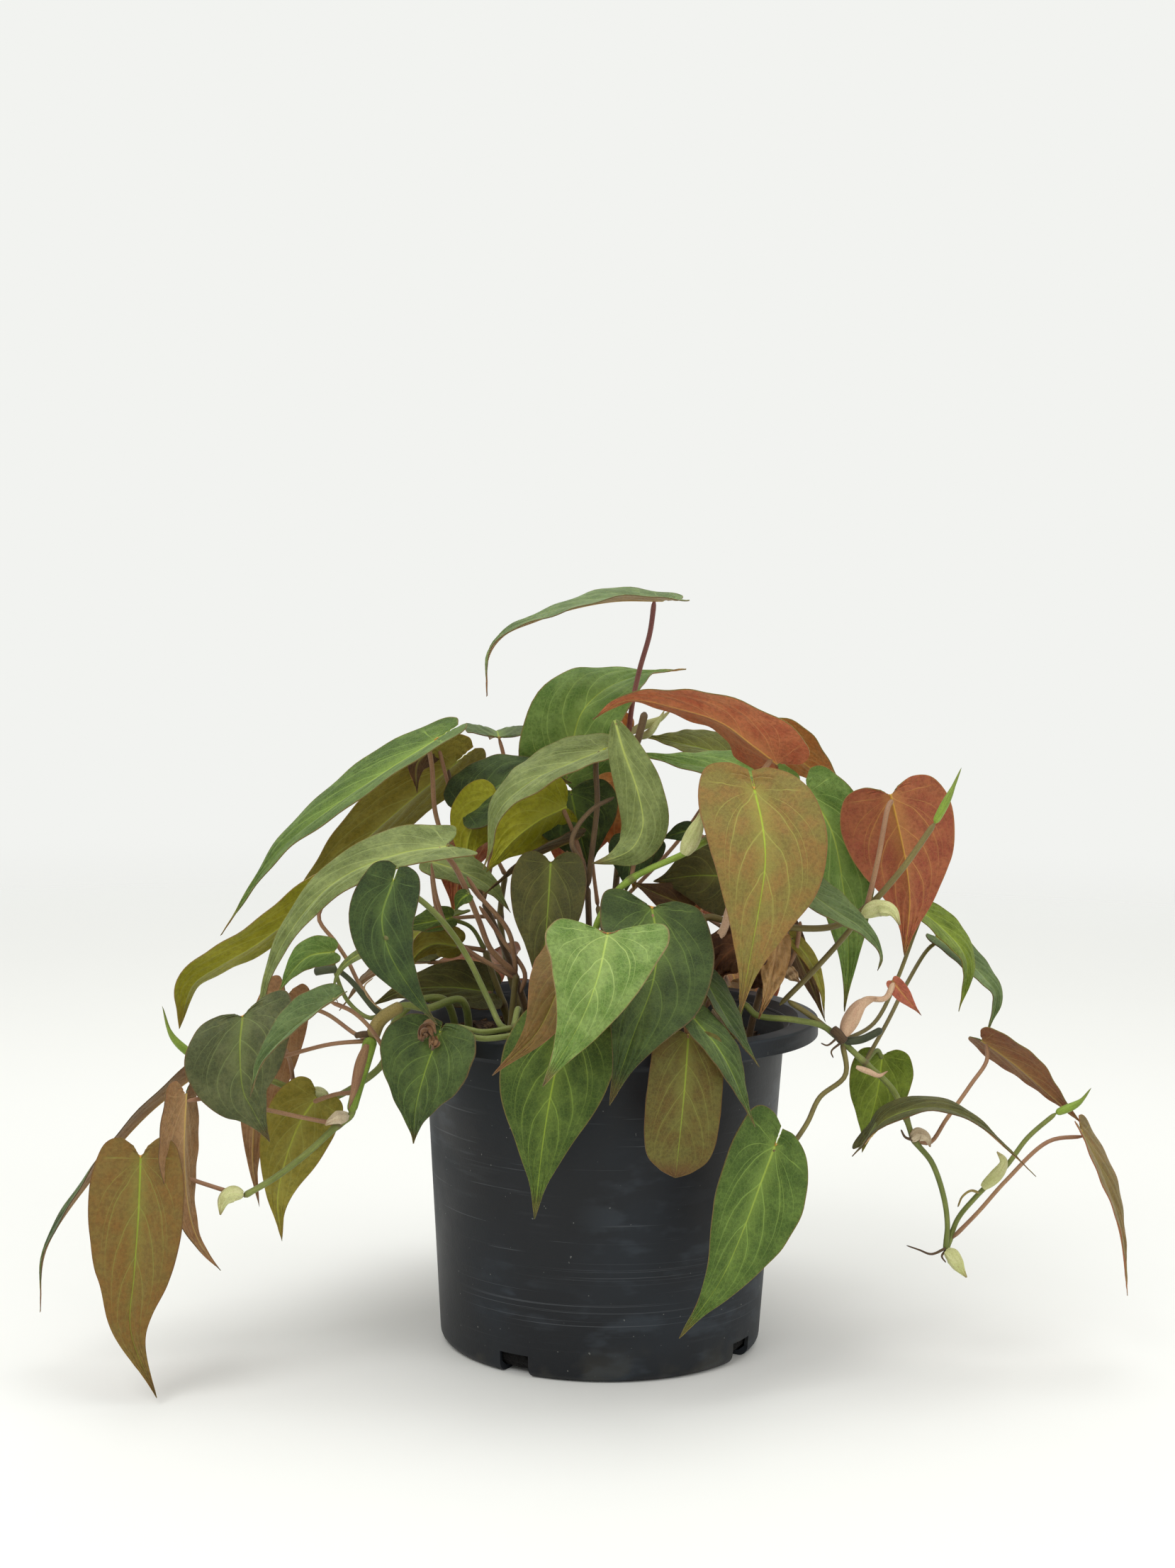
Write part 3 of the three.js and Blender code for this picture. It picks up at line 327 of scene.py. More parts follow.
class NodeWork:
    """Lays out the nodes of one material round its shader."""

    def __init__(self, name: str) -> None:
        """Makes the material and its shader.

        Args:
            name: The material's name.
        """
        self.material = bpy.data.materials.new(name)
        self.material.use_nodes = True
        self.tree = self.material.node_tree
        self.skin = self.tree.nodes["Principled BSDF"]
        self.object_place: Socket = self.add("ShaderNodeTexCoord").outputs["Object"]

    def add(self, kind: str, **settings: object) -> bpy.types.Node:
        """Adds a node of a kind, with its own settings by name."""
        node = self.tree.nodes.new(kind)
        for name, value in settings.items():
            setattr(node, name, value)
        return node

    def feed(self, socket: Socket, value: Socket | float | tuple[float, ...]) -> None:
        """Links a socket to another, or sets its number."""
        if isinstance(value, bpy.types.NodeSocket):
            self.tree.links.new(value, socket)
        else:
            socket.default_value = value

    def step(self, operation: str, *values: Socket | float) -> Socket:
        """Works out one step of arithmetic, such as ADD, on one to three numbers."""
        node = self.add("ShaderNodeMath", operation=operation)
        for socket, value in zip(node.inputs, values):
            self.feed(socket, value)
        return node.outputs[0]

    def times(self, first: Socket, second: Socket | float) -> Socket:
        """Multiplies two numbers."""
        return self.step("MULTIPLY", first, second)

    def dress(self, values: dict[str, Socket | float | tuple[float, ...]]) -> None:
        """Gives the shader's inputs their links and numbers by name."""
        for name, value in values.items():
            self.feed(self.skin.inputs[name], value)

    def ramp(self, value: Socket, low: float | Socket, high: float | Socket) -> Socket:
        """Rises smoothly from 0 to 1, or falls where low is the larger.

        Args:
            value: What is read.
            low: The value at which the result is 0.
            high: The value at which the result is 1.

        Returns:
            The result.
        """
        node = self.add("ShaderNodeMapRange", interpolation_type="SMOOTHSTEP")
        for name, number in (("Value", value), ("From Min", low), ("From Max", high)):
            self.feed(node.inputs[name], number)
        return node.outputs[0]

    def noise(self, scale: float, detail: float = 2, place: Socket | None = None) -> Socket:
        """Gives cloudy noise.

        Args:
            scale: How many clouds there are in a metre, or in a unit of place.
            detail: How many finer layers it has.
            place: Where it is read, on the object unless this says otherwise.

        Returns:
            The noise, mostly between 0.3 and 0.7.
        """
        node = self.add("ShaderNodeTexNoise")
        self.feed(node.inputs["Vector"], place or self.object_place)
        node.inputs["Scale"].default_value = scale
        node.inputs["Detail"].default_value = detail
        return node.outputs[0]

    def cells(self, scale: float, feature: str) -> bpy.types.NodeOutputs:
        """Gives a pattern of cells, so many in a metre, whose feature says what is measured."""
        node = self.add("ShaderNodeTexVoronoi", feature=feature)
        self.feed(node.inputs["Vector"], self.object_place)
        node.inputs["Scale"].default_value = scale
        return node.outputs

    def blend(self, share: Socket | float, first: Socket | Colour, second: Socket | Colour) -> Socket:
        """Mixes two colours.

        Args:
            share: The share of the second colour.
            first: The first colour.
            second: The second colour.

        Returns:
            The mixed colour.
        """
        node = self.add("ShaderNodeMix", data_type="RGBA")
        self.feed(node.inputs[0], share)
        for number, colour in ((6, first), (7, second)):
            linked = isinstance(colour, bpy.types.NodeSocket)
            self.feed(node.inputs[number], colour if linked else paint(colour))
        return node.outputs[2]

    def split(self, place: Socket) -> tuple[Socket, Socket, Socket]:
        """Splits a place into its three numbers."""
        node = self.add("ShaderNodeSeparateXYZ")
        self.feed(node.inputs[0], place)
        return node.outputs[0], node.outputs[1], node.outputs[2]

    def leaf_place(self) -> tuple[Socket, Socket, Socket]:
        """Reads where a point lies on its own surface."""
        return self.split(self.add("ShaderNodeAttribute", attribute_name=PLACE_NAME).outputs["Vector"])

    def shift(self, offset: Point, squeeze: Point = (1, 1, 1)) -> Socket:
        """Moves and squeezes the object's own coordinates.

        Args:
            offset: How far they are moved, in metres.
            squeeze: How many times closer the pattern lies along each axis.

        Returns:
            The moved coordinates.
        """
        node = self.add("ShaderNodeMapping")
        self.feed(node.inputs["Vector"], self.object_place)
        node.inputs["Location"].default_value = offset
        node.inputs["Scale"].default_value = squeeze
        return node.outputs[0]

    def relief(self, height: Socket, strength: float, distance: float) -> None:
        """Raises the surface by a height that only the light sees.

        Args:
            height: The height, from 0 to 1.
            strength: How strongly it shows.
            distance: How high 1 stands, in metres.
        """
        node = self.add("ShaderNodeBump")
        node.inputs["Strength"].default_value = strength
        node.inputs["Distance"].default_value = distance
        self.feed(node.inputs["Height"], height)
        self.feed(self.skin.inputs["Normal"], node.outputs["Normal"])


@dataclass(frozen=True)
class VeinRun:
    """How a blade's side veins run. share is 0 on the midrib and 1 at the margin.

    Formula: on a vein, along less the slant stays the same. The slant is lean share plus curl share / (end -
    share), so the vein leaves the midrib slanting forward and then runs beside the margin. A gap is the step
    from one vein to the next, half widths are in gaps, and first and last say where veins begin and end.
    """

    lean: float = 0.22
    curl: float = 0.13
    end: float = 1.08
    gap: float = 0.19
    fan_gap: float = 0.38
    fine_gap: float = 0.05
    half_width: float = 0.045
    halo_width: float = 0.26
    fine_width: float = 0.16
    first: float = -0.04
    last: float = 0.74


VEINS = VeinRun()


@dataclass(frozen=True)
class BladeFinish:
    """One side of a leaf: velvet, with a midrib and side veins that arch towards the tip.

    Colours are as a screen shows them, from 0 to 255. The pattern's scales are in clouds, cells or grains a
    metre.
    """

    base: Colour
    second: Colour
    vein: Colour
    midrib: Colour
    rim: Colour
    vein_share: float = 0.6
    roughness: float = 0.6
    sheen: float = 0.2
    mottle: float = 0.8
    glow: float = 0.5
    stray_scale: float = 55.0
    cell_scale: float = 620.0
    cloud_scale: float = 100.0
    grain_scale: float = 1500.0
    fleck_scale: float = 600.0
    dimple_scale: float = 450.0
    rough_spread: float = 0.24

    def material(self, name: str, raised: float) -> bpy.types.Material:
        """Builds the finish.

        Formula: along runs from 0 at the stalk to 1 at the tip. Side veins stand where along less the slant
        is a whole number of gaps. Behind the first one, along divided by the slant takes its place, so the
        veins fan out from the stalk into the lobes. Fine veins run between them, a net of cells lies over
        all, and the rim's colour comes in at the margin and at the tip.

        Args:
            name: The material's name.
            raised: 1 where the veins stand up from the surface, -1 where they are sunk in it.

        Returns:
            The material.
        """
        work = NodeWork(name)
        side, along, across = work.leaf_place()
        share, from_rib = work.step("ABSOLUTE", side), work.step("ABSOLUTE", across)
        veins, halo, fine = self.vein_marks(work, share, along)
        width = work.step("MULTIPLY_ADD", along, -0.8, 1.0)
        rib = work.ramp(from_rib, work.times(width, 0.75), work.times(width, 0.25))
        net = work.ramp(work.cells(self.cell_scale, "DISTANCE_TO_EDGE")["Distance"], 0.1, 0.0)
        cloud = work.ramp(work.noise(self.cloud_scale, 3), 0.36, 0.64)
        grain = work.noise(self.grain_scale, 2)
        fleck = work.ramp(work.noise(self.fleck_scale, 3), 0.42, 0.62)
        colour = work.blend(work.times(cloud, self.mottle), self.base, self.second)
        colour = work.blend(work.times(fleck, 0.35), colour, tuple(channel * 0.7 for channel in self.base))
        near_rib = work.times(work.ramp(share, 0.34, 0.0), work.ramp(along, 0.95, 0.05))
        colour = work.blend(
            work.step("MAXIMUM", work.times(near_rib, 0.45), work.times(halo, 0.12)), colour, self.vein)
        pale = work.step("MULTIPLY_ADD", fine, 0.12, work.times(net, 0.25))
        colour = work.blend(
            work.times(work.step("MAXIMUM", pale, veins), self.vein_share), colour, self.vein)
        rib_share = work.times(rib, work.step("MULTIPLY_ADD", along, -0.45, 0.85))
        colour = work.blend(rib_share, colour, self.midrib)
        edge = work.step("MAXIMUM", work.ramp(share, 0.962, 1.0), work.ramp(along, 0.84, 1.0))
        colour = work.blend(work.times(edge, 0.75), colour, self.rim)
        work.dress({
            "Base Color": colour,
            "Roughness": work.step("MULTIPLY_ADD", grain, self.rough_spread, self.roughness - 0.12),
            "Sheen Weight": self.sheen, "Sheen Roughness": 0.45, "Sheen Tint": (0.8, 0.9, 0.6, 1),
            "Specular IOR Level": 0.2, "Subsurface Weight": self.glow, "Subsurface Radius": (1.0, 0.7, 0.25),
            "Subsurface Scale": 0.0012})
        height = work.step("MAXIMUM", work.step("MAXIMUM", veins, rib), work.times(net, 0.35))
        height = work.step("MULTIPLY_ADD", grain, 0.5, work.times(height, raised))
        work.relief(work.step("MULTIPLY_ADD", work.noise(self.dimple_scale, 1), 0.8, height), 0.4, 0.0005)
        return work.material

    def vein_marks(self, work: NodeWork, share: Socket, along: Socket) -> tuple[Socket, Socket, Socket]:
        """Draws the veins, which stray a little from their formula.

        Args:
            work: The material's nodes.
            share: 0 on the midrib and 1 at the margin.
            along: 0 at the stalk and 1 at the tip.

        Returns:
            1 on the side veins, 1 in the soft halo round them, and 1 on the fine veins between them.
        """
        stray = work.times(work.step("SUBTRACT", work.noise(self.stray_scale), 0.5), 0.08)
        curl = work.step("DIVIDE", share, work.step("SUBTRACT", VEINS.end, share))
        slant = work.step("MULTIPLY_ADD", curl, VEINS.curl, work.times(share, VEINS.lean))
        start = work.step("ADD", work.step("SUBTRACT", along, slant), stray)
        ahead = work.times(work.ramp(start, VEINS.first, 0.0), work.ramp(start, VEINS.last, 0.4))
        fan = work.step("ADD", work.step("DIVIDE", along, work.step("MAXIMUM", slant, 0.02)), stray)
        lobe = self.lines(work, fan, VEINS.fan_gap, VEINS.half_width)
        lobe = work.times(lobe, work.ramp(start, 0.01, -0.02))
        veins = work.times(self.lines(work, start, VEINS.gap, VEINS.half_width), ahead)
        halo = work.times(self.lines(work, start, VEINS.gap, VEINS.halo_width), ahead)
        fine = self.lines(work, start, VEINS.fine_gap, VEINS.fine_width)
        fade = work.ramp(share, 1.02, 0.5)
        return (work.times(work.step("MAXIMUM", veins, lobe), fade), work.times(halo, fade),
                work.times(fine, work.ramp(share, 0.95, 0.3)))

    @staticmethod
    def lines(work: NodeWork, value: Socket, gap: float, thick: float) -> Socket:
        """Draws thin soft lines where a value is a whole number of gaps.

        Args:
            work: The material's nodes.
            value: The value.
            gap: The step between two lines.
            thick: The half width of a line in gaps.

        Returns:
            1 on a line and 0 between lines.
        """
        edge = gap * thick
        return work.ramp(work.step("PINGPONG", value, gap / 2), edge, edge * 0.2)


class Look(Enum):
    """The colours that a side of a leaf has."""

    PALE_GREEN = BladeFinish((96, 126, 54), (132, 156, 86), (170, 190, 112), (184, 204, 108), (140, 100, 78),
                             vein_share=0.8)
    LEAF_GREEN = BladeFinish((68, 92, 32), (94, 118, 50), (148, 174, 82), (168, 186, 80), (116, 94, 54))
    FRESH = BladeFinish((86, 116, 44), (116, 142, 70), (156, 180, 92), (176, 192, 84), (126, 98, 62))
    GREEN = BladeFinish((58, 78, 24), (84, 104, 40), (138, 162, 66), (156, 176, 58), (112, 96, 52))
    DEEP_GREEN = BladeFinish((50, 66, 28), (78, 96, 46), (118, 142, 66), (146, 166, 64), (98, 72, 46))
    DARK_GREEN = BladeFinish((44, 60, 28), (68, 86, 40), (104, 128, 66), (128, 148, 68), (92, 66, 44))
    DUSKY = BladeFinish((82, 102, 56), (110, 130, 78), (138, 154, 100), (150, 166, 96), (104, 80, 56))
    SLATE = BladeFinish((72, 78, 46), (98, 102, 66), (128, 140, 84), (146, 160, 72), (104, 74, 50))
    GREY_GREEN = BladeFinish((100, 112, 58), (130, 142, 84), (164, 176, 108), (176, 186, 98), (116, 88, 56))
    YELLOW_GREEN = BladeFinish((88, 106, 22), (116, 134, 42), (158, 176, 72), (170, 188, 70), (116, 98, 44))
    OLIVE = BladeFinish((66, 64, 26), (86, 82, 38), (120, 124, 58), (140, 156, 60), (88, 60, 36))
    OLIVE_GREEN = BladeFinish((80, 82, 22), (104, 104, 36), (140, 146, 62), (156, 170, 60), (110, 84, 44))
    BRONZE = BladeFinish((142, 110, 58), (126, 118, 58), (168, 166, 82), (172, 196, 66), (130, 88, 54),
                         vein_share=0.65)
    BROWN_OLIVE = BladeFinish((98, 80, 36), (106, 102, 48), (140, 142, 66), (152, 172, 58), (98, 64, 38))
    BROWN_BRONZE = BladeFinish((126, 92, 42), (122, 102, 50), (140, 142, 66), (152, 172, 58), (98, 64, 38))
    BRICK = BladeFinish((124, 74, 48), (140, 94, 58), (160, 130, 76), (168, 142, 72), (136, 90, 60))
    RUSTY = BladeFinish((112, 88, 42), (128, 94, 52), (142, 132, 68), (160, 152, 66), (142, 86, 62))
    # Painted light: the red underside lightened, used on red_top alone so that its shaded underside shows as
    # lit.
    SALMON = BladeFinish((184, 100, 70), (204, 130, 88), (218, 158, 100), (222, 180, 90), (176, 104, 66))
    RED = BladeFinish((152, 80, 58), (168, 102, 68), (196, 148, 82), (206, 162, 72), (158, 112, 66))
    ORANGE = BladeFinish((188, 120, 64), (202, 150, 88), (206, 170, 104), (208, 182, 86), (156, 124, 66))
    YELLOW = BladeFinish((146, 146, 18), (166, 164, 42), (180, 180, 74), (188, 194, 66), (142, 108, 46))
    OLIVE_GOLD = BladeFinish((132, 122, 38), (150, 142, 60), (166, 166, 82), (172, 178, 68), (138, 98, 52))
    PINK = BladeFinish((142, 104, 68), (160, 126, 88), (184, 152, 108), (190, 162, 90), (142, 92, 70))
    UMBER = BladeFinish((78, 54, 32), (98, 72, 42), (126, 104, 58), (142, 134, 64), (76, 48, 32))
    BUD_RED = BladeFinish((166, 90, 70), (184, 112, 84), (206, 140, 98), (200, 150, 90), (150, 70, 60))
    TAN = BladeFinish((158, 120, 74), (180, 146, 98), (192, 162, 116), (172, 136, 90), (126, 86, 54),
                      roughness=0.8, sheen=0)
    WITHERED = BladeFinish((62, 38, 22), (92, 60, 36), (120, 84, 52), (120, 76, 44), (74, 42, 24),
                           roughness=0.75, sheen=0)


@dataclass(frozen=True)
class StemFinish:
    """The skin of a stem or a leaf stalk, darker at its nodes and streaked along its length."""

    base: Colour
    second: Colour
    node: Colour = (92, 70, 44)
    roughness: float = 0.5
    rough_spread: float = 0.25
    round_scale: float = 2.5
    length_scale: float = 0.06
    cloud_scale: float = 70.0
    grain_scale: float = 1800.0

    def material(self, name: str) -> bpy.types.Material:
        """Builds the finish. Its streaks are noise drawn out along the stem.

        Args:
            name: The material's name.

        Returns:
            The material.
        """
        work = NodeWork(name)
        turn, along, mark = work.leaf_place()
        place = work.add("ShaderNodeCombineXYZ")
        work.feed(place.inputs[0], work.times(turn, self.round_scale))
        work.feed(place.inputs[1], work.times(along, self.length_scale))
        streak = work.ramp(work.noise(2.0, 3, place.outputs[0]), 0.35, 0.65)
        cloud = work.ramp(work.noise(self.cloud_scale, 2), 0.35, 0.65)
        grain = work.noise(self.grain_scale, 2)
        mottle = work.step("MULTIPLY_ADD", streak, 0.5, work.times(cloud, 0.5))
        colour = work.blend(mottle, self.base, self.second)
        colour = work.blend(work.times(work.ramp(grain, 0.45, 0.7), 0.35), colour, self.node)
        colour = work.blend(work.times(mark, 0.85), colour, self.node)
        rough = work.step("MULTIPLY_ADD", grain, self.rough_spread, self.roughness - 0.12)
        work.dress({"Base Color": colour, "Roughness": rough, "Sheen Weight": 0.15,
                    "Specular IOR Level": 0.4})
        work.relief(work.step("MULTIPLY_ADD", streak, 0.6, grain), 0.4, 0.0003)
        return work.material


class Bark(Enum):
    """The colours that a stem or a leaf stalk has."""

    GREEN = StemFinish((98, 112, 44), (130, 140, 66))
    BRIGHT = StemFinish((112, 142, 36), (146, 174, 60))
    DARK = StemFinish((50, 58, 34), (72, 80, 46), (40, 34, 24))
    OLIVE = StemFinish((104, 92, 46), (126, 116, 60))
    BROWN = StemFinish((90, 68, 44), (118, 94, 60), (58, 40, 28))
    PINK = StemFinish((146, 104, 76), (168, 130, 92))
    WINE = StemFinish((124, 66, 64), (146, 90, 78), (80, 44, 40))
    BLUSH = StemFinish((198, 158, 128), (212, 182, 148), (150, 110, 80))
    NODE = StemFinish((134, 116, 56), (160, 142, 78), (52, 36, 24))
    SHEATH = StemFinish((184, 190, 120), (208, 208, 152), (150, 120, 76), 0.55)
    PAPER = StemFinish((196, 178, 146), (214, 200, 170), (150, 116, 84), 0.65)
    STRAW = StemFinish((170, 138, 98), (190, 162, 122), (120, 80, 52), 0.75)
    OLD = StemFinish((110, 76, 48), (146, 108, 70), (64, 40, 26), 0.8)
    ROOT = StemFinish((72, 52, 34), (100, 78, 50), (48, 34, 24), 0.8)


FINISHES: dict[str, bpy.types.Material] = {}


def finished(choice: Look | Bark, upper: bool = True) -> bpy.types.Material:
    """Gives a choice's material, made the first time that it is asked for.

    Args:
        choice: The look of a blade or the bark of a stem.
        upper: Whether a blade's side is its upper one, on which the veins are sunk in.

    Returns:
        The material.
    """
    blade = isinstance(choice, Look)
    name = choice.name.lower() + (("_upper" if upper else "_under") if blade else "")
    if name not in FINISHES:
        raised = (-1.0 if upper else 1.0,) if blade else ()
        FINISHES[name] = choice.value.material(name, *raised)
    return FINISHES[name]


@dataclass(frozen=True)
class Margin:
    """Half of a blade's outline, from the sinus to just short of the tip.

    along is in blade lengths and across in half widths. start is where on the midrib the line to it begins.
    """

    along: tuple[float, ...]
    across: tuple[float, ...]
    start: tuple[float, ...]

    def samples(self, count: int) -> np.ndarray:
        """Samples the outline smoothly and evenly, as rows of (along, across, start)."""
        return smooth_line(np.stack([self.along, self.across, self.start], axis=1), count)


class Outline(Enum):
    """The outlines that a blade has."""

    HEART = Margin((-0.05, -0.085, -0.03, 0.15, 0.38, 0.62, 0.84, 1.0),
                   (0.15, 0.45, 0.82, 1.0, 0.9, 0.5, 0.14, 0.006), (0, 0, 0, 0.13, 0.34, 0.59, 0.82, 0.99))
    CLOSED = Margin((-0.1, -0.115, -0.045, 0.15, 0.38, 0.62, 0.84, 1.0),
                    (0.03, 0.35, 0.8, 1.0, 0.9, 0.5, 0.14, 0.006), (0, 0, 0, 0.13, 0.34, 0.59, 0.82, 0.99))
    BLUNT = Margin((-0.02, -0.03, 0.03, 0.22, 0.55, 0.82, 0.94, 1.0),
                   (0.2, 0.55, 0.88, 0.98, 1.0, 0.88, 0.48, 0.006), (0, 0, 0.02, 0.2, 0.5, 0.78, 0.91, 0.99))
    TAPERED = Margin((-0.02, -0.03, 0.03, 0.22, 0.55, 0.8, 0.92, 1.0),
                     (0.2, 0.55, 0.88, 0.98, 1.0, 0.78, 0.3, 0.006), (0, 0, 0.02, 0.2, 0.5, 0.77, 0.9, 0.99))
    SHIELD = Margin((-0.01, -0.06, -0.045, 0.08, 0.32, 0.58, 0.83, 1.0),
                    (0.1, 0.5, 0.9, 1.0, 0.76, 0.42, 0.13, 0.006), (0, 0, 0, 0.06, 0.3, 0.56, 0.81, 0.99))
    BROAD = Margin((-0.03, -0.06, 0.0, 0.17, 0.4, 0.64, 0.85, 1.0),
                   (0.15, 0.5, 0.86, 1.0, 0.93, 0.58, 0.17, 0.006), (0, 0, 0, 0.14, 0.36, 0.6, 0.83, 0.99))
    SPEAR = Margin((0.0, 0.06, 0.18, 0.4, 0.6, 0.78, 0.9, 1.0),
                   (0.08, 0.4, 0.72, 0.98, 1.0, 0.62, 0.2, 0.006),
                   (0, 0.05, 0.16, 0.38, 0.58, 0.76, 0.89, 0.99))


@dataclass(frozen=True)
class Leaf:
    """A heart leaf on its stalk.

    name only tells the reader which leaf it is. face is the way that the upper side looks at the stalk, and
    tip_face at the tip. A rib runs from the stalk to the tip, and the stalk's points run from the blade down
    to the stem. With skew, one half of the blade sits further along the midrib than the other. Lengths are in
    millimetres; wave, crown, pillow, ripple and crumple are heights in half widths.
    """

    name: str
    upper: Look
    under: Look
    width: float
    face: Point
    rib: list[Point]
    stalk: list[Point]
    tip_face: Point | None = None
    fold: float = 0.18
    radius: float = 1.25
    outline: Outline = Outline.HEART
    skew: float = 0.0
    stalk_bark: Bark = Bark.PINK
    crumple: float = 0.0
    rows: int = 60
    columns: int = 25
    wave: float = 0.05
    wave_count: float = 1.6
    crown: float = 0.05
    pillow: float = 0.015
    ripple: float = 0.018
    ripple_count: float = 5.3
    face_offset: float = 0.24
    rib_rise: float = 0.5
    rib_sink: float = 0.22
    rib_width: float = 0.7
    stalk_start: int = 5
    stalk_steps: int = 30
    stalk_sides: int = 9
    stalk_share: float = 0.78
    stalk_most: float = 1.7
    blade_end: Point2 = (0.28, 2.5)
    stem_end: Point2 = (0.5, 3.5)
    stem_mark: Point2 = (0.7, 2.5)

    def spine(self) -> np.ndarray:
        """Gives the midrib, in even steps from the stalk to the tip."""
        return smooth_line(VIEWER.place(self.rib), SPINE_STEPS + 1)

    def blade(self, order: int, finishes: tuple[int, int]) -> Surface:
        """Builds the blade.

        Formula: a grid point is the midrib's point, moved out along the face's own width by the share of the
        margin and folded up at the midrib by an angle. The lift, and half of the blade's thickness to each
        side, are added along the face's normal. The midrib stands up on the under side and is sunk in the
        upper one.

        Args:
            order: The leaf's place on its stem, which sets its waves.
            finishes: The numbers of the upper and the under finish.

        Returns:
            The blade.
        """
        margin = self.outline.value.samples(self.rows)
        column = np.linspace(-1, 1, self.columns)
        side, share = np.sign(column), np.abs(column) ** 1.25
        along = margin[:, 2:] + (margin[:, :1] - margin[:, 2:]) * share
        across = margin[:, 1:2] * share
        far = across * self.width / 2
        slid = along + self.skew * across * side * (1 - np.maximum(along, 0))
        point, tangent, up = self.on_spine(slid)
        out = np.cross(up, tangent) * side[:, None]
        lift = far * math.sin(self.fold) + self.lift(column, share, along, across, order)
        grid = point + out * (far * math.cos(self.fold))[..., None] + up * lift[..., None]
        ridge = np.exp(-((far / self.rib_width) ** 2)) * (1 - 0.8 * np.clip(along, 0, 1))
        thin_tip = np.minimum(1, margin[:, 1:2] * 8)
        above = (self.face_offset - self.rib_sink * ridge) * thin_tip
        below = (self.face_offset + self.rib_rise * ridge) * thin_tip
        where = np.stack([np.broadcast_to(share * side, along.shape), along, far * side], axis=-1)
        return shell(grid, where, above, below, finishes)

    def on_spine(self, slid: np.ndarray) -> tuple[np.ndarray, np.ndarray, np.ndarray]:
        """Finds places on the midrib, or on its straight run before the stalk.

        Args:
            slid: How far along the midrib they lie, in blade lengths.

        Returns:
            The points, the midrib's directions there and the upper face's directions there.
        """
        spine = self.spine()
        place = np.clip(slid, 0, 1)
        step = place * SPINE_STEPS
        lower = np.minimum(step.astype(int), SPINE_STEPS - 1)
        rest = (step - lower)[..., None]
        slope = unit(np.gradient(spine, axis=0))
        tangent = unit(slope[lower] * (1 - rest) + slope[lower + 1] * rest)
        point = spine[lower] * (1 - rest) + spine[lower + 1] * rest
        point = point + tangent * ((slid - place) * travelled(spine)[-1])[..., None]
        face = unit(np.asarray(self.face, float))
        tip_face = unit(np.asarray(self.tip_face or self.face, float))
        up = face + (tip_face - face) * place[..., None]
        return point, tangent, unit(up - tangent * (up * tangent).sum(axis=-1, keepdims=True))

    def lift(self, column: np.ndarray, share: np.ndarray, along: np.ndarray, across: np.ndarray,
             order: int) -> np.ndarray:
        """Gives how far each point stands off the flat blade.

        Formula: a slow sine along the margin that grows with the square of across, a crown between the midrib
        and the margin, a pillow between each two side veins, a quick ripple at the rim, and crossed sines
        where the leaf is crumpled.

        Args:
            column: -1 at one margin and 1 at the other.
            share: 0 on the midrib and 1 at the margin.
            along: 0 at the stalk and 1 at the tip.
            across: How far each point lies from the midrib, in half widths.
            order: The leaf's place on its stem, which shifts its waves.

        Returns:
            The lift in millimetres.
        """
        side, full = np.sign(column), 2 * math.pi
        start = along - VEINS.lean * share - VEINS.curl * share / (VEINS.end - share)
        wave = self.wave * across**2 * np.sin(full * self.wave_count * along + order * side)
        crown = self.crown * np.sin(math.pi * share) * np.sin(math.pi * np.clip(along + 0.1, 0, 1))
        pillow = -self.pillow * np.cos(full * start / VEINS.gap) * np.sin(math.pi * share)
        ripple = self.ripple * share**4 * np.sin(full * self.ripple_count * along + 2.1 * order + side)
        big = np.sin(9.1 * along + 3 * column + order) * np.cos(5.3 * column + 2 * order + 4 * along)
        small = 0.4 * np.sin(23 * along - 7 * column) * np.sin(11 * column + order)
        rough = self.crumple * (big + small) * np.minimum(1, share + 0.25)
        return self.width / 2 * (wave + crown + pillow + ripple + rough)

    def stalk_tube(self, finish: int) -> Surface:
        """Builds the stalk from inside the blade to the stem.

        Formula: the radius grows by a share that fades with the distance from each end, as e to the power of
        less that distance over a length. The darker mark at the stem fades alike.

        Args:
            finish: The number of the finish.

        Returns:
            The stalk.
        """
        joint = self.spine()[self.stalk_start]
        line = smooth_line(np.vstack([joint, VIEWER.place(self.stalk)]), self.stalk_steps)
        length = travelled(line)[-1]
        from_blade = np.linspace(0, length, len(line))
        from_stem = length - from_blade
        at_blade, at_stem, mark = (
            most * np.exp(-far / over) for far, (most, over) in (
                (from_blade, self.blade_end), (from_stem, self.stem_end), (from_stem, self.stem_mark)))
        radius = min(self.radius, self.stalk_most) * self.stalk_share * (1 + at_blade + at_stem)
        return tube(line, radius, self.stalk_sides, finish, mark)


@dataclass(frozen=True)
class Twig:
    """A bare side stem, a cut stub, an old leaf stalk or an aerial root, from its start to its end."""

    line: list[Point]
    bark: Bark
    start: float = 1.2
    end: float = 1.1
    steps: int = 26
    sides: int = 10

    def surface(self, finish: int) -> Surface:
        """Builds the twig.

        Args:
            finish: The number of the finish.

        Returns:
            The twig.
        """
        line = smooth_line(VIEWER.place(self.line), self.steps)
        share = np.linspace(0, 1, self.steps)
        radius = self.start + (self.end - self.start) * share
        return tube(line, radius, self.sides, finish, 0.5 * share**12)


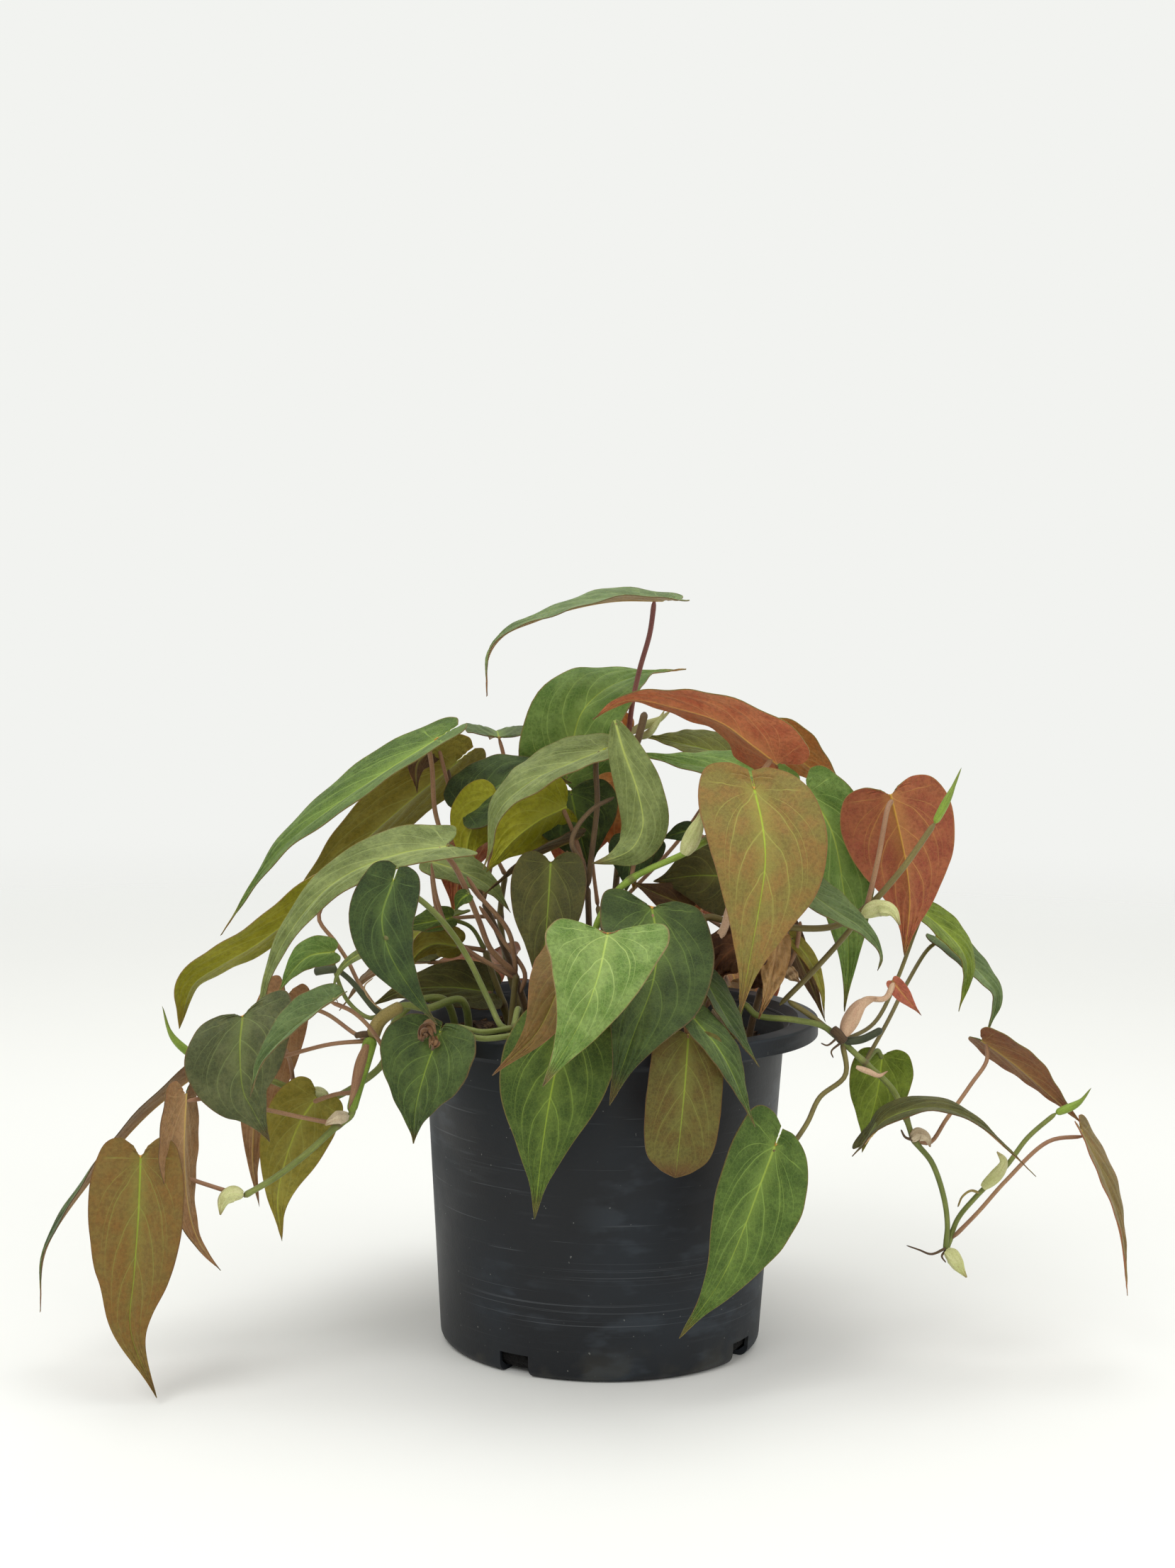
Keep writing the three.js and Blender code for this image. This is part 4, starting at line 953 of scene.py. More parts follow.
@dataclass(frozen=True)
class Sheath:
    """A thin papery piece: what is left of a new leaf's cover at a node, or a withered scrap."""

    line: list[Point]
    width: float
    face: Point
    bark: Bark = Bark.SHEATH
    cup: float = 1.3
    rough: float = 0.1
    face_offset: float = 0.14
    steps: int = 28
    columns: int = 13

    def surface(self, finish: int) -> Surface:
        """Builds the sheath.

        Formula: across the line each section is an arc of twice the cup angle. Its half width is a sine of
        the share of the line to a power, so it swells soon and narrows to a point. Two crossed sines crumple
        it.

        Args:
            finish: The number of the finish.

        Returns:
            The sheath.
        """
        line = smooth_line(VIEWER.place(self.line), self.steps)
        share = np.linspace(0, 1, self.steps)[:, None]
        turn = np.linspace(-1, 1, self.columns)[None]
        half = self.width / 2 * np.sin(math.pi * (0.16 + 0.82 * share**0.8))
        tangent = unit(np.gradient(line, axis=0))
        face = unit(np.asarray(self.face, float))
        up = unit(face - tangent * (tangent @ face)[:, None])
        out = np.cross(up, tangent)
        wide = half * np.sin(turn * self.cup) / math.sin(self.cup)
        lift = half * (np.cos(turn * self.cup) - 1) / math.sin(self.cup)
        lift = lift + self.rough * self.width * np.sin(9 * share + 4 * turn) * np.cos(5 * turn - 6 * share)
        grid = line[:, None] + out[:, None] * wide[..., None] + up[:, None] * lift[..., None]
        dark_end = 4 * np.maximum(0, share - 0.8)
        where = np.stack(np.broadcast_arrays(turn, share * travelled(line)[-1], dark_end), axis=-1)
        thick = np.full(lift.shape, self.face_offset)
        return shell(grid, where, thick, thick, (finish, finish))


@dataclass(frozen=True)
class LeafyStem:
    """A stem that rises from the mix, with its leaves, its rolled new leaves, its sheaths and its twigs."""

    name: str
    slot: str
    bark: Bark
    root: Point2
    way: list[Point]
    leaves: list[Leaf]
    buds: list[list[Point]] = field(default_factory=list)
    sheaths: list[Sheath] = field(default_factory=list)
    twigs: list[Twig] = field(default_factory=list)
    radius: float = 1.9
    root_foot: float = 126.0
    soil_top: float = 140.0
    tip_share: float = 0.72
    swell: float = 0.3
    swell_reach: float = 2.6
    ring_reach: float = 1.1
    sides: int = 12
    bud_steps: int = 28
    bud_radius: float = 1.5
    bud_swell: float = 0.6
    bud_taper: float = 1.35

    def stem(self, finish: int) -> Surface:
        """Builds the stem: a slim tube that swells at each node and thins towards its tip.

        Args:
            finish: The number of the finish.

        Returns:
            The stem.
        """
        x, y = self.root
        way = VIEWER.place(self.way)
        foot = np.array([[x, y, self.root_foot], [x, y, self.soil_top - 4], [x, y, self.soil_top + 3]])
        points = np.vstack([foot, way])
        line = smooth_line(points, 12 + 9 * len(points))
        ends = VIEWER.place([leaf.stalk[-1] for leaf in self.leaves])
        near = np.linalg.norm(line[:, None] - ends, axis=-1).min(axis=1)
        thin = np.linspace(1, self.tip_share, len(line))
        radius = self.radius * thin * (1 + self.swell * np.exp(-((near / self.swell_reach) ** 2)))
        return tube(line, radius, self.sides, finish, np.exp(-((near / self.ring_reach) ** 2)))

    def rolled_leaf(self, way: list[Point], finish: int) -> Surface:
        """Builds a rolled new leaf: a tube that swells a little and then narrows to a point.

        Args:
            way: Plant points from its foot to its point.
            finish: The number of the finish.

        Returns:
            The rolled leaf.
        """
        line = smooth_line(VIEWER.place(way), self.bud_steps)
        share = np.linspace(0, 1, self.bud_steps)
        swell = self.bud_swell * np.sin(math.pi * np.minimum(1, share * 1.5))
        radius = self.bud_radius + swell - self.bud_taper * share**2
        return tube(line, radius, self.sides, finish, 0.6 * share**2)

    def surfaces(self, finishes: list[bpy.types.Material]) -> list[Surface]:
        """Builds everything on the stem.

        Args:
            finishes: The list of the piece's materials, which this fills.

        Returns:
            The surfaces.
        """
        def number(material: bpy.types.Material) -> int:
            """Gives a material's number on the piece."""
            if material not in finishes:
                finishes.append(material)
            return finishes.index(material)

        made = [self.stem(number(finished(self.bark)))]
        for order, leaf in enumerate(self.leaves):
            sides = (number(finished(leaf.upper)), number(finished(leaf.under, upper=False)))
            made.append(leaf.blade(order, sides))
            made.append(leaf.stalk_tube(number(finished(leaf.stalk_bark))))
        for bud in self.buds:
            made.append(self.rolled_leaf(bud, number(finished(Bark.BRIGHT))))
        for extra in [*self.sheaths, *self.twigs]:
            made.append(extra.surface(number(finished(extra.bark))))
        return made

    def build(self) -> bpy.types.Object:
        """Makes the piece, hangs it on the root body and hides the imported node of the stem's name.

        Returns:
            The piece.
        """
        finishes: list[bpy.types.Material] = []
        surfaces = self.surfaces(finishes)
        piece = make_piece(self.name + "_foliage", surfaces, finishes)
        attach(piece, "root")
        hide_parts(self.name)
        return piece


# The leafy stems. Their points were placed over the photograph, as the viewer sees them, and those of the
# three stems at the back are guessed.
FRONT_STEM = LeafyStem(
    "front_stem", "fresh_foliage", Bark.GREEN, (-4, -62),
    way=[(-3, 166, -66)],
    leaves=[
        Leaf("front_pale", Look.PALE_GREEN, Look.RED, 53, (0.05, -1, 0.25),
            [(0.8, 192.3, -109), (-4, 170, -127), (-12, 149, -136), (-29, 119, -142)],
            [(-3, 183, -95), (-3, 166, -66)], outline=Outline.SHIELD, skew=-0.09, stalk_bark=Bark.GREEN),
        Leaf("front_brown", Look.RUSTY, Look.PINK, 30, (-0.35, -1, 0.1),
            [(-13, 188, -84), (-22, 166, -110), (-32, 145, -119), (-53, 124, -125)],
            [(-8, 178, -72), (-3, 166, -66)]),
        Leaf("front_low", Look.GREEN, Look.YELLOW, 49, (-0.1, -1, 0.12),
            [(-17, 151, -105), (-23, 126, -108), (-28, 95, -109), (-32, 55, -109)],
            [(-9, 168, -92), (-3, 166, -66)], fold=-0.12, skew=-0.06, stalk_bark=Bark.GREEN),
    ])

FRONT_RIGHT_STEM = LeafyStem(
    "front_right_stem", "dark_foliage", Bark.GREEN, (22, -62),
    way=[(22, 166, -64), (23, 176, -66)],
    leaves=[
        Leaf("front_right_green", Look.DEEP_GREEN, Look.RED, 50, (0.08, -1, 0.15),
            [(21.7, 204.7, -62), (24.3, 190, -74), (22.5, 169, -95), (14, 145, -116), (3, 110.6, -126)],
            [(21, 192, -66), (23, 176, -66)], outline=Outline.BROAD, skew=0.09),
        Leaf("front_bronze", Look.BROWN_OLIVE, Look.ORANGE, 33, (0.15, -1, 0.1),
            [(40, 145, -101), (38.5, 118, -106), (35, 76, -108)], [(34, 166, -88), (23, 176, -66)],
            fold=0.08, outline=Outline.BLUNT),
        Leaf("dark_blade", Look.DARK_GREEN, Look.UMBER, 24, (0.7, -0.45, 0.45),
            [(46, 174, -72), (60, 150, -88), (74, 130, -100)], [(36, 180, -68), (23, 176, -66)]),
        Leaf("green_blade", Look.DEEP_GREEN, Look.RED, 21, (0.6, -0.6, 0.35),
            [(41.5, 154, -96), (56, 136, -104), (72.6, 101, -106)], [(34, 166, -88)]),
    ])

OLIVE_STEM = LeafyStem(
    "olive_stem", "olive_foliage", Bark.OLIVE, (-24, -44),
    way=[(-26, 166, -40), (-26, 190, -34)],
    leaves=[
        Leaf("olive_centre", Look.OLIVE, Look.UMBER, 35, (-0.1, -1, 0.15),
            [(-26.5, 225.7, -42), (-27.7, 202, -52), (-29.3, 182, -58), (-33, 160, -60)],
            [(-24, 212, -34), (-26, 190, -34)]),
    ])

LEFT_MID_STEM = LeafyStem(
    "left_mid_stem", "olive_foliage", Bark.OLIVE, (-44, -34),
    way=[(-43, 164, -34), (-42, 173, -34)],
    twigs=[
        Twig([(-66, 219, -44), (-60, 210, -40), (-46, 193, -37), (-42, 173, -34)], Bark.PINK, 1.0, 1.2),
        Twig([(-60, 205, -30), (-48, 188, -32), (-38, 173, -34), (-40, 164, -34)], Bark.PINK, 1.0, 1.1),
        Twig([(-83, 225, -30), (-80, 208, -28), (-72, 190, -30), (-42, 170, -34)], Bark.PINK, 0.9, 1.1),
    ],
    leaves=[
        Leaf("twist_left", Look.GREY_GREEN, Look.UMBER, 34, (-0.2, -0.5, 0.85),
            [(-76, 233, -52), (-98.6, 229, -62), (-128, 215.5, -70), (-149, 192, -70), (-160, 168, -66),
                (-164.6, 136.7, -62)],
            [(-72, 224, -46), (-66, 212, -42), (-60, 198, -38), (-54, 184, -36), (-42, 173, -34)],
            tip_face=(-0.7, -0.6, 0.2), radius=1.7, outline=Outline.SHIELD),
        Leaf("grey_under", Look.GREY_GREEN, Look.YELLOW, 26, (0.2, -0.55, 0.8),
            [(-84, 226, -18), (-68, 221, -17), (-55, 214, -17), (-45, 202, -19)],
            [(-82, 214, -18), (-79, 200, -20), (-70, 188, -24), (-56, 178, -30), (-42, 173, -34)]),
        Leaf("small_curl", Look.GREEN, Look.YELLOW, 8, (-0.3, -0.9, 0.3),
            [(-65.5, 210.5, -48), (-69, 207.5, -50), (-71.5, 202, -51)], [(-66, 212, -42)],
            stalk_bark=Bark.GREEN),
    ])

LEFT_HIGH_STEM = LeafyStem(
    "left_high_stem", "fresh_foliage", Bark.BROWN, (-34, 4),
    way=[(-40, 165, 4), (-50, 190, 6), (-58, 207, 8)],
    leaves=[
        Leaf("long_green", Look.LEAF_GREEN, Look.RED, 38, (-0.5, -0.38, 0.78),
            [(-82, 283, 0), (-105, 268, -8), (-130, 250.5, -13), (-151.6, 232.4, -14),
                (-171, 206.4, -12), (-182.4, 189, -8)],
            [(-83, 270, 6), (-81, 248, 8), (-72, 226, 10), (-58, 207, 8)], radius=1.5,
            outline=Outline.CLOSED),
        Leaf("olive_mid", Look.GREEN, Look.OLIVE_GOLD, 44, (-0.4, 0.65, 0.65),
            [(-73, 272, 30), (-99, 250, 34), (-125, 225.5, 36), (-147, 201, 34), (-159, 179, 30)],
            [(-72, 250, 28), (-64, 224, 20), (-58, 207, 8)], outline=Outline.CLOSED, stalk_bark=Bark.BROWN),
        Leaf("dark_green", Look.DARK_GREEN, Look.UMBER, 42, (-0.35, -0.65, 0.7),
            [(-67, 250, 8), (-52, 262, 10), (-35, 268, 12), (-17, 264, 14)],
            [(-66, 238, 14), (-58, 207, 8)], stalk_bark=Bark.BROWN),
        Leaf("yellow_behind", Look.GREEN, Look.YELLOW, 30, (0.1, 1, 0.3),
            [(-52, 256, 4), (-62, 245, 3), (-66, 233, 3), (-62, 221, 3)], [(-54, 238, 8), (-58, 207, 8)]),
        Leaf("back_flat", Look.DEEP_GREEN, Look.PINK, 33, (0, 0.1, 1),
            [(-51.7, 285, 32), (-53, 288, 52), (-56, 284, 80)],
            [(-49, 274, 32), (-50, 254, 30), (-54, 228, 20), (-58, 207, 8)]),
        Leaf("brown_tip", Look.RUSTY, Look.UMBER, 14, (-0.2, 1, 0.2),
            [(-80, 282, 24), (-90, 272, 18), (-90, 258, 14)], [(-72, 250, 28)]),
    ])

LEFT_VINE = LeafyStem(
    "left_vine", "fresh_foliage", Bark.GREEN, (-62, -42),
    way=[(-68, 160, -54), (-84, 156, -62), (-95, 157, -64), (-106, 152, -63), (-110.6, 140, -66),
    (-114, 128, -69), (-118, 115, -72), (-120, 104, -74), (-125.8, 99.5, -75), (-140, 86, -80),
    (-155, 74, -86), (-171, 64, -90)],
    sheaths=[
        Sheath([(-112, 138, -71), (-115, 128, -74), (-118, 116, -77), (-121, 107, -78)], 5, (0.6, -1, 0.2),
            Bark.PINK, 1.3, 0.03),
        Sheath([(-121, 104, -76), (-125, 104, -80), (-129, 102, -81), (-132, 99, -81)], 6.5,
            (-0.2, -1, 0.5), Bark.PAPER),
        Sheath([(-171, 65, -92), (-176, 65, -94), (-180, 62, -95), (-182, 55, -95)], 7, (0.2, -1, 0.2),
            Bark.SHEATH),
    ],
    twigs=[
        Twig([(-96, 157, -65), (-102, 153.5, -65), (-107, 149, -65), (-110.5, 141, -67)], Bark.NODE, 2.8,
            3.4),
        Twig([(-110.5, 142, -67), (-113.5, 130, -69), (-117, 117, -72), (-120, 105, -74)], Bark.BRIGHT, 3.3,
            2.3),
        Twig([(-110, 143, -66), (-115, 143, -68), (-118.5, 142, -68)], Bark.ROOT, 1.7, 1.3),
        Twig([(-127, 174, -66), (-132, 173.5, -67), (-138, 172.5, -68)], Bark.DARK, 1.7, 1.9),
        Twig([(-127, 174, -66), (-120, 168, -62), (-110, 156, -62), (-106, 152, -63)], Bark.DARK, 1.2, 1.4),
        Twig([(-105, 154, -62), (-112, 160, -62), (-114, 166, -62), (-110, 170, -62)], Bark.STRAW, 0.5,
            0.3),
    ],
    leaves=[
        Leaf("yellow_arch", Look.FRESH, Look.YELLOW, 27, (-0.3, 0.6, 0.75),
            [(-122, 218, -24), (-137, 208, -26), (-151, 196.5, -28), (-167, 184.5, -30),
                (-182, 175.5, -30), (-196, 165, -30), (-201.8, 144, -30)],
            [(-136, 199, -32), (-128, 187, -34), (-122, 178, -40), (-117, 168, -48), (-106, 152, -63)],
            tip_face=(-0.9, 0.35, 0.2), outline=Outline.TAPERED),
        Leaf("small_left", Look.FRESH, Look.YELLOW, 18, (-0.3, -0.7, 0.6),
            [(-129, 182, -46), (-140, 180, -48), (-148, 173, -50), (-155, 162, -50)],
            [(-128, 173, -48), (-122, 159, -54), (-112, 151, -60), (-106, 152, -63)],
            stalk_bark=Bark.GREEN),
        Leaf("pink_back", Look.GREEN, Look.PINK, 27, (0.1, 1, 0.15),
            [(-151.4, 160, -38), (-157.3, 138.6, -34), (-164.9, 107.8, -32), (-166.5, 80.4, -32),
                (-163.3, 58.9, -34)], [(-133, 153, -48), (-118, 143, -60), (-110.6, 140, -66)]),
        Leaf("left_arch", Look.DARK_GREEN, Look.PINK, 31, (-0.68, 0.25, 0.7),
            [(-195, 122, -63), (-219, 101, -69), (-243, 72, -72), (-265.6, 36, -70), (-268, 6, -66)],
            [(-180, 127, -66), (-156, 131, -67), (-130, 138, -70), (-110.6, 140, -66)],
            tip_face=(-0.9, -0.4, 0.1), outline=Outline.CLOSED),
        Leaf("edge_left", Look.DARK_GREEN, Look.PINK, 30, (-0.9, 0.42, 0.1),
            [(-198.7, 111.8, -92), (-199.6, 83.4, -96), (-197.1, 56, -98), (-191.7, 40.6, -99),
                (-181.5, 27.6, -99)],
            [(-188, 111, -86), (-160, 106, -80), (-140, 102, -76), (-125.8, 99.5, -75)]),
        Leaf("yellow_left", Look.GREEN, Look.OLIVE_GOLD, 33, (0.2, 1, 0.2),
            [(-136.9, 111.7, -60), (-144, 100.6, -62), (-150.3, 84.1, -64), (-154.5, 63.5, -64),
                (-152.4, 42.5, -64)], [(-127, 114, -66), (-118, 115, -72)]),
        Leaf("bronze_left", Look.BROWN_BRONZE, Look.RED, 43, (-0.1, -1, 0.2),
            [(-220, 81.7, -100), (-221, 54, -106), (-223, 25, -110), (-224.6, -2, -112), (-212, -35, -113)],
            [(-210, 78, -92), (-199, 73, -90), (-171, 64, -90)]),
    ])

LEFT_BACK_VINE = LeafyStem(
    "left_back_vine", "dark_foliage", Bark.GREEN, (-68, -26),
    way=[(-76, 160, -36), (-89, 159, -42), (-100, 148, -46), (-104, 130.5, -46), (-118, 118, -44),
    (-131, 112, -44), (-147, 116, -45), (-162.5, 121.7, -46), (-178, 125, -46), (-191, 128, -46)],
    buds=[[(-191, 128, -46), (-205, 140.5, -47), (-209.9, 155, -48)]],
    sheaths=[
        Sheath([(-131, 113, -47), (-136, 114, -49), (-141, 112, -50), (-145, 108, -50)], 8, (0.1, -1, 0.4),
            Bark.SHEATH),
    ],
    leaves=[
        Leaf("dark_left", Look.SLATE, Look.RED, 48, (-0.1, -1, 0.2),
            [(-171.7, 150.3, -83), (-172.9, 136, -88), (-171.1, 114.6, -90), (-166.5, 105.5, -90),
                (-158.4, 90.5, -88)], [(-161, 146, -72), (-150, 132, -54), (-147, 116, -45)], skew=-0.2),
        Leaf("blue_edge", Look.DUSKY, Look.PINK, 20, (-0.4, -0.55, 0.7),
            [(-128.9, 159.1, -92), (-141.2, 150.4, -98), (-152.3, 140.4, -102), (-163, 127.3, -104),
                (-168, 111.9, -104)],
            [(-120, 154, -86), (-112, 147, -80), (-104, 135, -68), (-104, 130.5, -44)], fold=0.6,
            outline=Outline.CLOSED),
    ])

LEFT_FRONT_STEM = LeafyStem(
    "left_front_stem", "dark_foliage", Bark.GREEN, (-40, -62),
    way=[(-41, 156, -70), (-43, 147, -82)],
    sheaths=[
        Sheath([(-81, 144, -93), (-84, 146, -95), (-87, 144, -96), (-86, 140, -97)], 6, (-0.3, -1, 0.2),
            Bark.OLD, 1.3, 0.45),
        Sheath([(-82, 142, -93), (-80, 139, -96), (-82, 136, -97)], 4.5, (0.5, -1, 0.2), Bark.OLD, 1.3,
            0.45),
    ],
    twigs=[
        Twig([(-73, 147, -87), (-60, 142, -92), (-46, 143, -92), (-34, 146, -84)], Bark.GREEN, 1.3, 1.4),
    ],
    leaves=[
        Leaf("rim_green", Look.DEEP_GREEN, Look.YELLOW, 47, (-0.5, -1, 0.15),
            [(-78, 144, -90), (-84, 128, -95), (-89, 108, -97), (-90, 90.6, -95)],
            [(-71, 147, -87), (-58, 145, -88), (-43, 147, -82)], radius=1.6, outline=Outline.CLOSED,
            stalk_bark=Bark.GREEN),
        Leaf("dark_front", Look.DARK_GREEN, Look.YELLOW, 29, (0, -1, 0.1),
            [(-101, 216, -90), (-106, 199, -94), (-102.5, 182.5, -98), (-91, 163.4, -103),
                (-79, 147.6, -108)],
            [(-90, 209, -84), (-76, 196, -78), (-65, 180, -71), (-55, 160, -75), (-48, 147, -83),
                (-43, 147, -82)], radius=1.7, outline=Outline.CLOSED, stalk_bark=Bark.GREEN),
        Leaf("grey_hook", Look.GREY_GREEN, Look.YELLOW, 5, (0, -1, 0.3),
            [(-103, 184, -92), (-116, 181.5, -80), (-126, 173, -72), (-128.5, 163, -69),
                (-125.5, 156, -69)], [(-103.5, 190, -97)], stalk_bark=Bark.GREEN),
    ])

LEFT_RIM_STEM = LeafyStem(
    "left_rim_stem", "dark_foliage", Bark.OLIVE, (-44, -6),
    way=[(-48, 158, -8), (-53, 172, -8), (-57, 184, -6)],
    leaves=[
        Leaf("rim_olive", Look.OLIVE, Look.UMBER, 32, (-0.05, -0.6, 0.8),
            [(-54, 164, -8), (-75, 166, -12), (-95, 164, -14), (-112, 156, -16)], [(-48, 158, -8)]),
        Leaf("gap_green", Look.GREEN, Look.YELLOW, 15, (0, -0.7, 0.7),
            [(-73.5, 199, -8), (-83.5, 197, -10), (-92.2, 195, -10), (-100.2, 191, -10)],
            [(-64, 195, -6), (-57, 184, -6)], stalk_bark=Bark.GREEN),
        Leaf("gap_gold", Look.OLIVE, Look.OLIVE_GOLD, 20, (-0.3, 0.8, 0.6),
            [(-70, 186, -8), (-81, 187, -10), (-90, 181, -10), (-94, 171, -10)], [(-57, 184, -6)]),
    ])

CENTRE_LEFT_STEM = LeafyStem(
    "centre_left_stem", "olive_foliage", Bark.BROWN, (-8, -26),
    way=[(-8, 165, -28), (-8, 196, -30), (-9, 215, -30)],
    twigs=[
        Twig([(3, 257.6, -36), (-7, 252, -37), (-15, 242, -38), (-16.7, 235, -38), (-13, 228, -36),
                (-9.8, 221, -32)], Bark.BROWN, 1.0, 1.3),
        Twig([(-9, 215, -30), (-16, 222, -29), (-19, 232, -28)], Bark.PINK, 1.1, 0.8),
    ],
    leaves=[
        Leaf("pale_olive", Look.GREY_GREEN, Look.YELLOW, 38, (-0.45, -0.5, 0.75),
            [(-2.6, 279.7, -24), (-20.7, 272, -34), (-35.3, 265, -42), (-51, 250.6, -46),
                (-55, 232.6, -46), (-58.5, 222, -44)],
            [(-5.9, 274, -28), (-5, 255, -30), (-7, 233, -30), (-9, 215, -30)], tip_face=(-0.9, -0.45, 0.1),
            radius=1.8, outline=Outline.CLOSED, stalk_bark=Bark.BROWN),
        Leaf("yellow_centre", Look.GREEN, Look.YELLOW, 40, (-0.15, 0.9, 0.4),
            [(-20, 252.5, -16), (-32, 246.5, -20), (-45, 236, -22), (-57, 221, -22)],
            [(-15, 238, -18), (-11, 225, -24), (-9, 215, -30)]),
        Leaf("brown_edge", Look.OLIVE, Look.UMBER, 22, (-0.5, 0.25, 0.85),
            [(-14, 238, -22), (-35, 228, -26), (-60, 209, -28)], [(-11, 225, -24)]),
        Leaf("teal_centre", Look.DEEP_GREEN, Look.PINK, 42, (0, -1, 0.2),
            [(-17.5, 260, -6), (-14, 245, -9), (-10, 230, -11), (-7, 220, -12)],
            [(-16, 250, -2), (-12, 232, -8), (-9, 215, -30)], stalk_bark=Bark.BROWN),
    ])

CENTRE_STEM = LeafyStem(
    "centre_stem", "bronze_foliage", Bark.BRIGHT, (6, -40),
    way=[(2, 168, -46), (-4, 186, -52), (-4.8, 195, -54), (3.8, 211.6, -54), (11.6, 219, -53),
    (20.4, 224, -52), (35.6, 231, -50), (47, 238, -46), (58, 247, -42)],
    sheaths=[
        Sheath([(36, 231, -52), (40, 240, -54), (43, 247, -55), (44, 252, -55)], 8, (-0.2, -1, 0.2),
            Bark.SHEATH, 1.2, 0.05),
        Sheath([(52, 158, -66), (57, 155, -70), (62, 150, -72), (64, 146, -73)], 8, (0.1, -0.6, 0.8),
            Bark.PAPER),
    ],
    twigs=[
        Twig([(2, 170, -46), (28, 178, -50), (48, 186, -52), (55, 194, -52), (59, 209, -52)], Bark.BLUSH,
            1.5, 2.0),
        Twig([(64, 197, -44), (60, 184, -46), (54, 170, -46), (48, 158, -46)], Bark.PINK, 1.2, 1.2),
    ],
    leaves=[
        Leaf("bronze_big", Look.BRONZE, Look.RED, 55, (0.05, -1, 0.15),
            [(69, 262, -54), (73.2, 245, -64), (74.8, 228, -72), (72, 204, -80), (68.3, 181, -88),
                (64.3, 155.5, -94)], [(65, 255, -46), (58, 247, -42)], radius=1.8, outline=Outline.CLOSED,
            skew=0.08),
        # red_top's underside is the red look lightened with painted light.
        Leaf("red_top", Look.GREEN, Look.SALMON, 48, (0.1, 0.42, 0.9),
            [(78.7, 275.3, -22), (67, 284, -26), (53.6, 293.5, -26), (34, 299.7, -24), (8, 303.5, -20),
                (-8, 294, -16)], [(70, 267.5, -28), (64, 256, -38), (58, 247, -42)], radius=1.5),
        Leaf("centre_fold", Look.GREY_GREEN, Look.PINK, 24, (-0.2, -1, 0.1),
            [(2.6, 294, -47), (7.1, 279.3, -50), (14.1, 260.3, -52), (16.7, 244.1, -54),
                (11.6, 233.4, -57), (2.2, 228.5, -58), (-7.4, 225.9, -57)],
            [(6, 292, -42), (13, 262, -43), (14, 236, -47), (11.6, 219, -53)], fold=-0.45,
            outline=Outline.SPEAR),
        Leaf("small_dark", Look.DARK_GREEN, Look.UMBER, 9, (0, -1, 0.2),
            [(40, 243, -38), (33, 241, -36), (25, 238, -34)], [(47, 238, -46)]),
    ])

BACK_CENTRE_STEM = LeafyStem(
    "back_centre_stem", "fresh_foliage", Bark.BROWN, (8, 16),
    way=[(6, 168, 18), (4, 205, 18), (7, 245, 18), (9, 270, 18), (9, 286, 17)],
    sheaths=[
        Sheath([(9, 288, 17), (17, 292, 14), (24, 295, 12), (29, 299, 10)], 4, (0, -1, 0.2), Bark.SHEATH,
            1.2, 0.02),
        Sheath([(12, 286, 16), (19, 288, 12), (23, 293, 10), (26, 299, 9)], 3.5, (0.5, -1, 0.2),
            Bark.SHEATH, 1.2, 0.02),
    ],
    twigs=[
        Twig([(9, 278, 16), (13, 283, 10), (15, 290, 8), (16.8, 298, 7)], Bark.BROWN, 1.7, 1.9),
    ],
    leaves=[
        Leaf("top_leaf", Look.DUSKY, Look.PINK, 46, (0.05, -0.1, 1),
            [(23, 350.5, 0), (2, 350, -4), (-18, 346, -6), (-35, 340, -7), (-50, 333, -8),
                (-57, 323, -8), (-57.6, 304, -8)],
            [(18.5, 335, 6), (14, 318, 10), (11, 303, 14), (9, 286, 17)], tip_face=(-0.95, -0.1, 0.2),
            fold=0.13, radius=1.6, outline=Outline.CLOSED, stalk_bark=Bark.WINE),
        Leaf("top_fresh", Look.FRESH, Look.ORANGE, 50, (-0.05, -0.95, 0.3),
            [(-20, 265, 28), (-17, 283, 20), (-13, 297, 17), (-4, 307, 22), (12, 314.5, 36),
                (36, 318.5, 50)], [(-14, 262, 34), (-2, 266, 28), (9, 270, 18)], tip_face=(0, 0.1, 1),
            outline=Outline.BROAD),
        Leaf("orange_top", Look.GREEN, Look.ORANGE, 28, (0, 1, 0.1),
            [(2, 298, 32), (-7, 284, 34), (-13, 267, 34)], [(9, 286, 17)]),
        Leaf("orange_back", Look.GREEN, Look.ORANGE, 36, (0, 1, 0.1),
            [(8, 266, 2), (10, 250, 0), (12, 232, 0), (13, 213, -2)], [(9, 268, 10), (9, 270, 18)]),
        Leaf("under_fold", Look.DARK_GREEN, Look.PINK, 19, (0.2, -1, 0.1),
            [(21, 239, -15), (14, 230, -16), (4, 219, -17)], [(17, 244, -6), (7, 245, 18)]),
        Leaf("green_far", Look.OLIVE_GREEN, Look.YELLOW, 32, (0, -0.45, 0.9),
            [(59, 277, 44), (45, 281, 44), (30, 284, 42), (14, 287, 40)],
            [(52, 266, 44), (34, 238, 36), (4, 205, 18)]),
        Leaf("teal_low", Look.DARK_GREEN, Look.UMBER, 22, (0, -1, 0.2),
            [(12, 238, -18), (11, 226, -20), (9, 212, -20)], [(9, 240, -6), (7, 245, 18)]),
    ])

